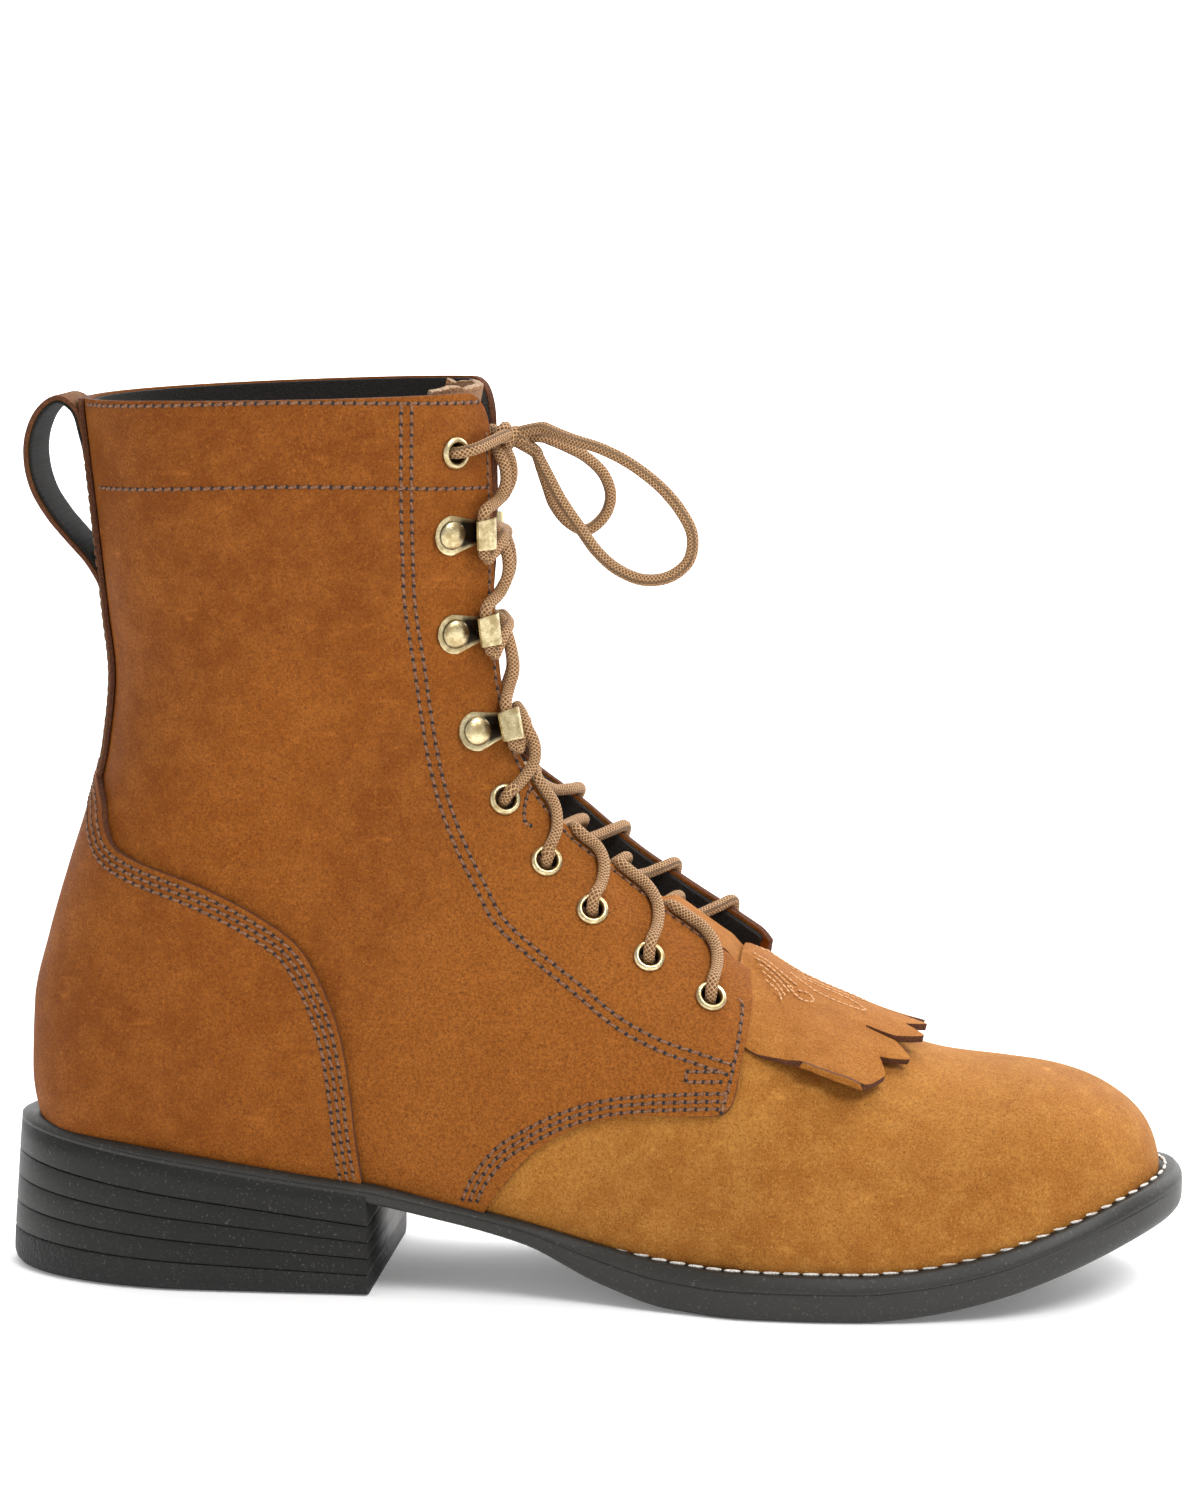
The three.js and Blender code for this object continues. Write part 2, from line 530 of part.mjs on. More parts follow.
// A strip along the ridge in side view, from row t0 to row t1, between two depths under the ridge.
function ridgeStrip(t0, t1, above, below, y0, y1) {
  const outer = [];
  const inner = [];
  for (let t = t0; t <= t1 + 1e-6; t += 0.5) {
    const cut = sectionAt(t);
    const length = Math.hypot(cut.frontX - cut.backX, cut.frontZ - cut.backZ);
    const at = (depth) => {
      const p = onSection(cut, 1 - depth / length, 0);
      return [p.x, p.z];
    };
    outer.push(at(-above));
    inner.push(at(below));
  }
  return sidePrism([...outer, ...inner.reverse()], y0, y1);
}

// Side view of the quarters' free edge over the vamp, and of the counter's edge, as shares of the
// sole's length from the heel and heights over the sole's top in shares of the vamp's rise.
const sidePoint = ([along, rise]) => {
  const x = HEEL_END + along * SOLE_LENGTH;
  return [x, soleTop(x) + rise * VAMP_RISE];
};
const QUARTER_EDGE = [
  [0.64, 1.25],
  [0.637, 0.97],
  [0.641, 0.9],
  [0.64, 0.83],
  [0.6365, 0.72],
  [0.627, 0.56],
  [0.6, 0.535],
  [0.555, 0.51],
  [0.52, 0.455],
  [0.49, 0.37],
  [0.465, 0.27],
  [0.44, 0.12],
  [0.425, 0.02],
  [0.42, -0.3],
];
const COUNTER_EDGE = [
  [0.334, -0.3],
  [0.321, 0.03],
  [0.316, 0.16],
  [0.311, 0.34],
  [0.304, 0.51],
  [0.292, 0.66],
  [0.268, 0.83],
  [0.235, 0.92],
  [0.185, 1.0],
  [0.13, 1.05],
  [0.113, 1.08],
  [0.106, 1.14],
  [0.103, 1.22],
  [0.094, 1.31],
  [0.086, 1.36],
];

function makeUpper() {
  const quarterRoom = sidePrism([
    ...QUARTER_EDGE.map(sidePoint),
    [HEEL_END - OVER, 0],
    [HEEL_END - OVER, 3 * SHAFT_RISE],
    [HEEL_END + QUARTER_EDGE[0][0] * SOLE_LENGTH, 3 * SHAFT_RISE],
  ]);
  const throat = [throatEdge(LATERAL), throatEdge(MEDIAL)];
  const betweenQuarters = ridgeStrip(THROAT_ROW - 1, COLLAR_ROW + 2, 3 * OVER, 1.9 * OVER, ...throat);
  const quarters = last(QUARTER).intersect(quarterRoom).subtract(betweenQuarters);
  return last(0)
    .add(quarters)
    .subtract(last(-UPPER_WALL))
    .subtract(underSole(GAP))
    .subtract(aboveCollar())
    .subtract(ridgeStrip(THROAT_ROW + 0.1, COLLAR_ROW + 2, 3 * OVER, 1.9 * OVER, ...throat));
}

function throatEdge(side) {
  return THROAT_SHIFT + SIGN[side] * (THROAT / 2);
}

function makeInsole() {
  const layer = underSole(GAP + INSOLE).subtract(underSole(GAP));
  return last(-UPPER_WALL - GAP).intersect(layer);
}

function makeCounter() {
  const room = sidePrism([
    ...COUNTER_EDGE.map(sidePoint),
    [HEEL_END - OVER, sidePoint(COUNTER_EDGE.at(-1))[1] + 1],
    [HEEL_END - OVER, 0],
  ]);
  return last(QUARTER + GAP + COUNTER)
    .subtract(last(QUARTER + GAP))
    .intersect(room)
    .subtract(underSole(GAP));
}

function makeBackstrap() {
  const bottom = sidePoint(COUNTER_EDGE.at(-1));
  const room = sidePrism(
    [
      [HEEL_END - OVER, bottom[1] + 1 + GAP],
      [bottom[0], bottom[1] + GAP],
      [sectionAt(COLLAR_ROW).backX + STRAP_WIDTH, bottom[1] + GAP],
      [sectionAt(COLLAR_ROW).backX + STRAP_WIDTH, 3 * SHAFT_RISE],
      [HEEL_END - OVER, 3 * SHAFT_RISE],
    ],
    -STRAP_WIDTH / 2,
    STRAP_WIDTH / 2,
  );
  return last(QUARTER + GAP + STRAP)
    .subtract(last(QUARTER + GAP))
    .intersect(room)
    .subtract(aboveCollar());
}

function makeTongue() {
  const outer = UPPER_WALL + GAP;
  const y = [THROAT_SHIFT - TONGUE_WIDTH / 2, THROAT_SHIFT + TONGUE_WIDTH / 2];
  const strip = ridgeStrip(THROAT_ROW - 1.5, COLLAR_ROW + 2, 2 * OVER, 2.6 * OVER, ...y);
  return last(-outer).subtract(last(-outer - TONGUE_WALL)).intersect(strip).subtract(aboveCollar(-1));
}

// Stations of the lace, from the top: the row of the form where each lies, and how far behind the
// facing's edge, as a share of the facing's inset.
const STATIONS = [
  { kind: "eyelet", row: 27.75, inset: 1.08 },
  { kind: "hook", row: 25.55, inset: 1.2 },
  { kind: "hook", row: 22.65, inset: 1.1 },
  { kind: "hook", row: 19.75, inset: 0.86 },
  { kind: "eyelet", row: 17.8, inset: 0.8 },
  { kind: "eyelet", row: 16.25, inset: 0.96 },
  { kind: "eyelet", row: 15.05, inset: 1.3 },
  { kind: "eyelet", row: 13.95, inset: 1.45 },
  { kind: "eyelet", row: 12.75, inset: 1.5 },
];

// Point, outward normal and direction to the throat on the form at row t, y out from the middle.
function surfaceAt(t, y) {
  const side = y < 0 ? LATERAL : MEDIAL;
  const point = (row, across) => {
    const cut = sectionAt(row);
    const u = Math.min(1, Math.abs(across) / cut[side]);
    const v = cut.widest + (1 - cut.widest) * (1 - u ** cut.upper) ** (1 / cut.upper);
    return onSection(cut, v, across);
  };
  const delta = 0.05;
  const at = point(t, y);
  const along = point(t + delta, y).sub(point(t - delta, y)).normalize();
  const across = point(t, y + delta).sub(point(t, y - delta)).normalize();
  const out = new THREE.Vector3().crossVectors(along, across).normalize();
  if (out.x + out.z < 0) out.negate();
  const inward = across.multiplyScalar(-Math.sign(y - THROAT_SHIFT));
  return { at, out, inward, along };
}

// How far out from the middle the leather is after a run along its section, from the facing's edge.
function behindFacing(t, side, run) {
  const cut = sectionAt(t);
  const place = (angle) => {
    const v = cut.widest + (1 - cut.widest) * Math.sin(angle) ** (2 / cut.upper);
    return onSection(cut, v, SIGN[side] * cut[side] * Math.cos(angle) ** (2 / cut.upper));
  };
  const edge = Math.abs(throatEdge(side));
  const step = 0.01;
  let angle = Math.PI / 2;
  while (Math.abs(place(angle).y) < edge) angle -= step;
  let from = place(angle);
  for (let left = run; left > 0; angle -= step) {
    const next = place(angle - step);
    left -= next.distanceTo(from);
    from = next;
  }
  return from.y;
}

// How far the leather round a fitting rises over the plane that touches it at the fitting's middle.
function fittingClearance(station, at, out, y) {
  const radius = station.kind === "hook" ? HOOK.base / 2 : EYELET.outer;
  const delta = 0.1;
  const step = surfaceAt(station.row + delta, y).at.distanceTo(at) / delta;
  const rises = [-1, 1].map((way) => {
    const near = surfaceAt(station.row + (way * radius) / step, y).at;
    return near.sub(at).dot(out);
  });
  return Math.max(0, ...rises);
}

// Frame of a fitting: its x points at the throat, its z out of the leather.
function fittingFrame(station, side) {
  const y = behindFacing(station.row, side, station.inset * FACING_INSET);
  const { at, out, inward } = surfaceAt(station.row, y);
  const upward = new THREE.Vector3().crossVectors(out, inward).normalize();
  const turn = new THREE.Matrix4().makeBasis(inward, upward, out);
  const clear = fittingClearance(station, at, out, y);
  const seat = at.clone().addScaledVector(out, QUARTER + clear);
  return { turn, seat, out, inward, matrix: turn.clone().setPosition(seat) };
}

const EYELET_SIDES = 8;

function eyeletGeometry() {
  const { outer, hole, wall, rise, shank } = EYELET;
  const bore = hole + wall;
  const profile = [
    [hole, -shank],
    [bore, -shank],
    [bore, GAP],
    [outer, GAP],
    [hole + wall / 2, GAP + rise],
    [hole, -shank],
  ];
  const lathe = new THREE.LatheGeometry(profile.map(([r, z]) => new THREE.Vector2(r, z)), EYELET_SIDES);
  return geometryFrom(solidFrom(lathe.rotateX(Math.PI / 2)));
}

// Hole in the leather for an eyelet's shank.
function eyeletHole(station, side) {
  const radius = EYELET.hole + EYELET.wall + GAP;
  const drill = new THREE.CylinderGeometry(radius, radius, 3 * OVER, EYELET_SIDES);
  return solidFrom(drill.rotateX(Math.PI / 2), fittingFrame(station, side).matrix);
}

function hookGeometry() {
  const { width, base, thick, reach, height, lip, flare, rivet } = HOOK;
  const plate = new THREE.CylinderGeometry(base / 2, base / 2, thick, 10).rotateX(Math.PI / 2);
  const plateSolid = solidFrom(plate, new THREE.Matrix4().makeTranslation(0, 0, GAP + thick / 2));
  const dome = new THREE.SphereGeometry(rivet, 7, 4);
  const domeMatrix = new THREE.Matrix4().makeScale(1, 1, 0.5).setPosition(0, 0, GAP + thick);
  // Side view of the bent arm: along the leather, round the bend and back over it.
  const bend = height / 2;
  const outline = [[0, 0]];
  const turns = 3;
  for (let i = 0; i <= turns; i++) {
    const angle = -Math.PI / 2 + (Math.PI * i) / turns;
    outline.push([reach + bend * Math.cos(angle), bend + bend * Math.sin(angle)]);
  }
  outline.push([reach - lip, height + flare]);
  outline.push([reach - lip, height + flare - thick]);
  for (let i = turns; i >= 0; i--) {
    const angle = -Math.PI / 2 + (Math.PI * i) / turns;
    const inner = bend - thick;
    outline.push([reach + inner * Math.cos(angle), bend + inner * Math.sin(angle)]);
  }
  outline.push([0, thick]);
  const shape = new THREE.Shape(outline.map(([x, z]) => new THREE.Vector2(x, z + GAP)));
  const arm = new THREE.ExtrudeGeometry(shape, { depth: width, bevelEnabled: false });
  const turn = new THREE.Matrix4().makeRotationX(Math.PI / 2);
  const armMatrix = new THREE.Matrix4().makeTranslation(0, width / 2, 0).multiply(turn);
  const below = new THREE.BoxGeometry(4 * OVER, 4 * OVER, OVER);
  const belowMatrix = new THREE.Matrix4().makeTranslation(0, 0, GAP - OVER / 2);
  const joined = plateSolid.add(solidFrom(dome, domeMatrix)).add(solidFrom(arm, armMatrix));
  return geometryFrom(joined.subtract(solidFrom(below, belowMatrix)));
}

// Lace
function tube(points, radius, sides = 8) {
  const path = new THREE.CatmullRomCurve3(points, false, "centripetal");
  const ring = [];
  for (let i = 0; i < sides; i++) {
    const angle = (2 * Math.PI * i) / sides;
    ring.push(new THREE.Vector2(radius * Math.cos(angle), radius * Math.sin(angle)));
  }
  const geometry = new THREE.ExtrudeGeometry(new THREE.Shape(ring), {
    steps: Math.round(path.getLength() / LACE_STEP),
    extrudePath: path,
    bevelEnabled: false,
  });
  return solidFrom(geometry);
}

// Where the lace turns at a station: over the eyelet, or in front of the hook's bend.
function lacePoint(index, side) {
  const station = STATIONS[index];
  const { seat, out, inward } = fittingFrame(station, side);
  const hook = station.kind === "hook";
  const ahead = hook ? HOOK.reach + HOOK.height / 2 + LACE / 2 + LACE_ROOM : 0;
  const lift = LACE / 2 + LACE_ROOM + (hook ? 0 : GAP + EYELET.rise + EYELET.clear);
  return seat.clone().addScaledVector(out, lift).addScaledVector(inward, ahead);
}

// A lace's way from one station to the next on the other side: over the facing's edge, past the
// middle at a height off the ridge, and over the other edge.
function crossingPoints(index, side, standoff) {
  const other = side === LATERAL ? MEDIAL : LATERAL;
  const [from, to] = [STATIONS[index].row, STATIONS[index + 1].row];
  const over = (share, y, height) => {
    const { at, out } = surfaceAt(from + (to - from) * share, y);
    return at.addScaledVector(out, height);
  };
  const edge = QUARTER + LACE / 2 + LACE_ROOM;
  return [
    over(0.25, throatEdge(side), edge),
    over(0.5, THROAT_SHIFT, standoff),
    over(0.75, throatEdge(other), edge),
  ];
}

const CROSSING = { over: 3.6, under: 1.6, sides: 5 };

function makeCrossings() {
  const runs = [LATERAL, MEDIAL].map((start, turn) => {
    const points = [];
    let side = start;
    STATIONS.forEach((_, i) => {
      points.push(lacePoint(i, side));
      if (i + 1 < STATIONS.length) {
        points.push(...crossingPoints(i, side, (i + turn) % 2 ? CROSSING.over : CROSSING.under));
        side = side === LATERAL ? MEDIAL : LATERAL;
      }
    });
    return tube(points, LACE / 2, CROSSING.sides);
  });
  const lowest = STATIONS.length - 1;
  const over = (y, height) => {
    const { at, out } = surfaceAt(STATIONS[lowest].row, y);
    return at.addScaledVector(out, height);
  };
  const bar = tube(
    [
      lacePoint(lowest, LATERAL),
      over(throatEdge(LATERAL), QUARTER + LACE / 2 + LACE_ROOM),
      over(THROAT_SHIFT, CROSSING.over),
      over(throatEdge(MEDIAL), QUARTER + LACE / 2 + LACE_ROOM),
      lacePoint(lowest, MEDIAL),
    ],
    LACE / 2,
    CROSSING.sides,
  );
  const risers = [LATERAL, MEDIAL].map((side) => {
    const start = lacePoint(0, side);
    const { at, out } = surfaceAt(STATIONS[0].row, throatEdge(side));
    const edge = at.addScaledVector(out, QUARTER + LACE / 2 + LACE_ROOM);
    const knot = new THREE.Vector3(KNOT.x, KNOT.y, KNOT.z);
    const away = edge.clone().sub(knot).normalize();
    return tube([start, edge, knot.addScaledVector(away, KNOT.wide + GAP)], LACE / 2, CROSSING.sides);
  });
  return [...runs, ...risers].reduce((whole, piece) => whole.add(piece), bar);
}

// Bow: routes of its two loops from the knot and back, chosen by hand in the boot's frame.
const LOOP_LONG = [
  [-10.6, -8.6, 221.2],
  [-2.8, -14, 218.6],
  [5, -17, 216.4],
  [12.5, -19, 212.8],
  [20.1, -20, 207.1],
  [25.1, -20, 201.3],
  [28.2, -20, 195],
  [27.4, -20, 188.6],
  [22.6, -20, 184.4],
  [16, -20, 183.5],
  [9.2, -19, 186],
  [4, -18, 190.3],
  [-0.8, -16, 196.4],
  [-5.6, -14, 203],
  [-9.8, -11, 210],
  [-12.6, -8.4, 214.6],
];
const LOOP_SHORT = [
  [-13.2, -3.6, 214.8],
  [-11.4, 2, 206.8],
  [-9.4, 6, 200],
  [-5.8, 8, 195.4],
  [-1.8, 9, 193.6],
  [2.8, 9, 197],
  [4.8, 8, 202.2],
  [3.4, 6, 208],
  [-0.8, 3, 212.8],
  [-5.6, 0, 215.8],
  [-10.9, -3.4, 218.4],
];
const toPoint = ([x, y, z]) => new THREE.Vector3(x, y, z);

function makeKnot() {
  const ball = new THREE.SphereGeometry(1, 10, 6).scale(KNOT.long, KNOT.wide, KNOT.high);
  return solidFrom(ball, new THREE.Matrix4().makeTranslation(KNOT.x, KNOT.y, KNOT.z));
}

// Pull loop: a strip that leaves the backstrap, bows out and comes back at the collar.
const LOOP_LINE = [
  [0.1, 0.725],
  [0.094, 0.758],
  [0.083, 0.788],
  [0.067, 0.815],
  [0.05, 0.845],
  [0.037, 0.88],
  [0.032, 0.918],
  [0.034, 0.953],
  [0.043, 0.985],
  [0.057, 1.003],
  [0.07, 0.993],
  [0.077, 0.96],
];

function makePullLoop() {
  const line = LOOP_LINE.map(([along, rise]) => {
    const x = HEEL_END + along * SOLE_LENGTH;
    return new THREE.Vector2(x, soleTop(x) + rise * BACK_RISE);
  });
  const path = new THREE.SplineCurve(line);
  const steps = 22;
  const side = (sign) => {
    const points = [];
    for (let i = 0; i <= steps; i++) {
      const p = path.getPoint(i / steps);
      const d = path.getTangent(i / steps);
      points.push([p.x - (sign * d.y * LOOP.thick) / 2, p.y + (sign * d.x * LOOP.thick) / 2]);
    }
    return points;
  };
  const outline = [...side(1), ...side(-1).reverse()];
  return sidePrism(outline, -LOOP.width / 2, LOOP.width / 2)
    .subtract(last(QUARTER + STRAP + 2 * GAP));
}

// Kiltie: a fringed flap, narrow between the facings and wide over the vamp. at: share of the sole's
// length, half: half width in shares of the ball's width, lift and droop: its height over the ridge and
// the fall to its edges, in shares of the vamp's rise.
const KILTIE_ROWS = [
  { at: 0.557, half: 0.074, lift: -0.007, droop: 0.014 },
  { at: 0.57, half: 0.106, lift: -0.0056, droop: 0.028 },
  { at: 0.6, half: 0.111, lift: -0.0028, droop: 0.028 },
  { at: 0.625, half: 0.111, lift: 0.0085, droop: 0.025 },
  { at: 0.636, half: 0.111, lift: 0.035, droop: 0.02 },
  { at: 0.644, half: 0.115, lift: 0.042, droop: 0.02 },
  { at: 0.6475, half: 0.315, lift: 0.048, droop: 0.155 },
  { at: 0.675, half: 0.35, lift: 0.054, droop: 0.19 },
  { at: 0.714, half: 0.362, lift: 0.068, droop: 0.2 },
  { at: 0.753, half: 0.355, lift: 0.079, droop: 0.19 },
  { at: 0.8, half: 0.33, lift: 0.09, droop: 0.17 },
];
// Pointed ends on an arc about the hub: radii in shares of the ball's width, spread in radians.
const FRINGE = { strips: 7, hub: 0.62, reach: 0.472, root: 0.36, spread: 0.83 };

function makeKiltie() {
  const ridge = curve([...UPPER].reverse(), ridgeZ, (row) => row.front);
  const half = curve(KILTIE_ROWS, (row) => row.half * BALL_WIDTH);
  const lift = curve(KILTIE_ROWS, (row) => row.lift * VAMP_RISE);
  const droop = curve(KILTIE_ROWS, (row) => row.droop * VAMP_RISE);
  const across = 6;
  const levelAt = (at) => {
    const top = [];
    const under = [];
    for (let i = 0; i <= across; i++) {
      const y = -1 + (2 * i) / across;
      const z = ridge(at) + lift(at) - droop(at) * y * y;
      const x = HEEL_END + at * SOLE_LENGTH;
      top.push(new THREE.Vector3(x, THROAT_SHIFT * 0.6 + y * half(at), z));
      under.push(new THREE.Vector3(x, THROAT_SHIFT * 0.6 + y * half(at), z - KILTIE.thick));
    }
    return { lateral: top, medial: under };
  };
  const sheet = loft(KILTIE_ROWS.map((row) => levelAt(row.at)));
  return sheet.subtract(fringeCuts());
}

// Outside of the fringe's pointed ends and the slits between its strips, seen from above.
function fringeCuts() {
  const { strips, hub, spread } = FRINGE;
  const reach = FRINGE.reach * BALL_WIDTH;
  const root = FRINGE.root * BALL_WIDTH;
  const centre = [HEEL_END + hub * SOLE_LENGTH, THROAT_SHIFT * 0.6];
  const polar = (radius, angle) =>
    new THREE.Vector2(centre[0] + radius * Math.cos(angle), centre[1] + radius * Math.sin(angle));
  const angleAt = (k) => spread * ((2 * k) / strips - 1);
  const tip = (k) => reach + 3 * Math.abs((2 * k) / strips - 1);
  const beyond = 3 * reach;
  const outline = [polar(beyond, -spread * 1.3)];
  for (let k = 0; k < strips; k++) {
    const point = k + 0.5;
    if (k > 0) {
      outline.push(polar(tip(k) - 5, angleAt(k) - 0.02));
      outline.push(polar(root, angleAt(k) - KILTIE.slit / 2 / root));
      outline.push(polar(root, angleAt(k) + KILTIE.slit / 2 / root));
      outline.push(polar(tip(k) - 5, angleAt(k) + 0.02));
    } else {
      outline.push(polar(tip(k) - 7, angleAt(k) - 0.1));
    }
    outline.push(polar(tip(point), angleAt(point) - 0.03));
    outline.push(polar(tip(point) - 1.5, angleAt(point) + 0.05));
  }
  outline.push(polar(tip(strips) - 7, angleAt(strips) + 0.1));
  outline.push(polar(beyond, spread * 1.3));
  outline.push(polar(2 * beyond, 0));
  const shape = new THREE.Shape(outline);
  const block = new THREE.ExtrudeGeometry(shape, { depth: 2 * SHAFT_RISE, bevelEnabled: false });
  return solidFrom(block);
}

// Materials
function skinOf(color, roughness, metalness = 0) {
  return new THREE.MeshStandardMaterial({ color, roughness, metalness });
}
const LEATHER = skinOf(0x9a5b26, 0.85);
const FLAP = skinOf(0xc88a50, 0.85);
const STRAP_LEATHER = skinOf(0x955f30, 0.85);
const SUEDE = skinOf(0x8a4a1e, 0.95);
const RUBBER = skinOf(0x3c3d3a, 0.7);
const TEXTURED_RUBBER = skinOf(0x383936, 0.9);
const LINING = skinOf(0x1c1814, 0.95);
const BRASS = skinOf(0xa89868, 0.35, 1);
const CORD = skinOf(0xa0764e, 0.9);

const boot = new THREE.Group();

function addMesh(name, geometry, material) {
  const mesh = new THREE.Mesh(geometry, material);
  mesh.name = name;
  boot.add(mesh);
  return mesh;
}

function addSolid(name, solid, material) {
  return addMesh(name, geometryFrom(solid), material);
}

let upper = makeUpper();
for (const side of [LATERAL, MEDIAL]) {
  for (const station of STATIONS) {
    if (station.kind === "eyelet") upper = upper.subtract(eyeletHole(station, side));
  }
}
addSolid("outsole", makeOutsole(), RUBBER);
addSolid("welt", makeWelt(), RUBBER);
for (let i = 0; i < LIFTS; i++) addSolid("heel_lift_" + (i + 1), makeLift(i), RUBBER);
addSolid("top_lift", makeTopLift(), TEXTURED_RUBBER);
addSolid("insole", makeInsole(), LINING);
addSolid("upper", upper, LEATHER);
addSolid("counter", makeCounter(), LEATHER);
addSolid("backstrap", makeBackstrap(), STRAP_LEATHER);
addSolid("pull_loop", makePullLoop(), STRAP_LEATHER);
addSolid("tongue", makeTongue(), SUEDE);
addSolid("kiltie", makeKiltie(), FLAP);
for (const side of [LATERAL, MEDIAL]) {
  STATIONS.forEach((station, i) => {
    const shape = station.kind === "hook" ? hookGeometry() : eyeletGeometry();
    const mesh = addMesh(side + "_" + station.kind + "_" + (i + 1), shape, BRASS);
    mesh.applyMatrix4(fittingFrame(station, side).matrix);
  });
}
addSolid("lace_crossings", makeCrossings(), CORD);
addSolid("lace_knot", makeKnot(), CORD);
addSolid("lace_loop_long", tube(LOOP_LONG.map(toPoint), LACE / 2), CORD);
addSolid("lace_loop_short", tube(LOOP_SHORT.map(toPoint), LACE / 2), CORD);

export default boot;
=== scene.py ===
import math

import bmesh
import bpy
import numpy as np
from mathutils import Matrix


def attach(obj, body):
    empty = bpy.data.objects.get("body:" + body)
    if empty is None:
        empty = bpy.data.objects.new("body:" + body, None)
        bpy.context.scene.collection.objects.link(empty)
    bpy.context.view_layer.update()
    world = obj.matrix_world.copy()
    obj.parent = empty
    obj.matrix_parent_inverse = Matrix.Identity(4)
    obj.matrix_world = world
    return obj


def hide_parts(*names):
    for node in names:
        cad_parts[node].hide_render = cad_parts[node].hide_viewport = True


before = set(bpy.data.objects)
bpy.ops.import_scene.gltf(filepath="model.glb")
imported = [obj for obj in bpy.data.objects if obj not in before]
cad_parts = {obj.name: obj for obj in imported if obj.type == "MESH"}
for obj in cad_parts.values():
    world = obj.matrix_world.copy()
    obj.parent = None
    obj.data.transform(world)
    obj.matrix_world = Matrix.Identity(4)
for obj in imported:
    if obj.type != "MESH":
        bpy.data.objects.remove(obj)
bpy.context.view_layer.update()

MM = 0.001
# Sole sizes
SOLE_LENGTH = 308
BALL_WIDTH = 108
WAIST_WIDTH = 68
HEEL_WIDTH = 73
TOE_WIDTH = 92
HEEL_ROUND = (54, 1.95)
TOE_ROUND = (50, 2.2)
HEEL_FLARE = 2.8
SOLE_EDGE = 11.6
SHANK = 4.8
HEEL_SEAT = 29.1
TOE_SPRING = 20
HEEL_LENGTH = 100
TOP_LIFT = (5.6, 9.8)
HEEL_STACK = (18.3, 30.7)
LIFTS = 3

# Upper sizes
QUARTER = 1.5
COUNTER = 1.6
STRAP = 1.3
VAMP_LEDGE = 6
VAMP_RISE = 71
SHAFT_RISE = 137
BACK_RISE = 187.8
SHAFT_WIDTH = 82
THROAT = 30
THROAT_SHIFT = 2
FACING_INSET = 12
COLLAR_CORNER = 10
COLLAR_TILT = 0.8
COLLAR_RISE = 2.2
COLLAR_FALL = 1.7
BURY = 8
OVER = 10
FLAP_OPEN = 8.2
TIP_ROOM = 0.4
CAP_FULL = 0.95
EYELET_HOLE = 3.3
NECK_CLEAR = 1.0
TURNED_SIDES = 40
CORD_SIDES = 14
STITCH_SIDES = 6
EDGE_ANGLE = 50

HEEL_END = -SOLE_LENGTH / 2
TOE_END = SOLE_LENGTH / 2
BREAST = HEEL_END + HEEL_LENGTH
LATERAL, MEDIAL = -1, 1
WORD = {LATERAL: "outer", MEDIAL: "inner"}

# Half widths of the sole: share of the length, named width, outer share, inner share
PLAN = [
    (0.0, HEEL_WIDTH, 0.488, 0.474),
    (0.12, HEEL_WIDTH, 0.496, 0.488),
    (0.22, HEEL_WIDTH, 0.503, 0.492),
    (0.33, HEEL_WIDTH, 0.507, 0.481),
    (0.42, WAIST_WIDTH, 0.556, 0.453),
    (0.5, WAIST_WIDTH, 0.596, 0.441),
    (0.58, BALL_WIDTH, 0.437, 0.34),
    (0.65, BALL_WIDTH, 0.4925, 0.43),
    (0.7, BALL_WIDTH, 0.5, 0.478),
    (0.75, BALL_WIDTH, 0.4925, 0.5),
    (0.82, BALL_WIDTH, 0.465, 0.4875),
    (0.9, TOE_WIDTH, 0.487, 0.516),
    (1.0, TOE_WIDTH, 0.387, 0.411),
]

# Side view of the sole: share of the length, heel rise, toe spring, fullness of the edge
PROFILE = [
    (0.0, 1.71, 0, 0),
    (0.153, 1.39, 0, 0),
    (0.269, 1.11, 0, 0),
    (0.3214, 1.0, 0, 0),
    (0.386, 0.766, 0, 0),
    (0.4545, 0.514, 0, 0.13),
    (0.5214, 0.217, 0, 0.76),
    (0.58, 0.04, 0, 1),
    (0.625, 0, 0, 1),
    (0.735, 0, 0, 1),
    (0.77, 0, 0.04, 1),
    (0.802, 0, 0.11, 1),
    (0.85, 0, 0.28, 1),
    (0.898, 0, 0.51, 1),
    (0.963, 0, 0.85, 1),
    (1.0, 0, 1.03, 1),
]

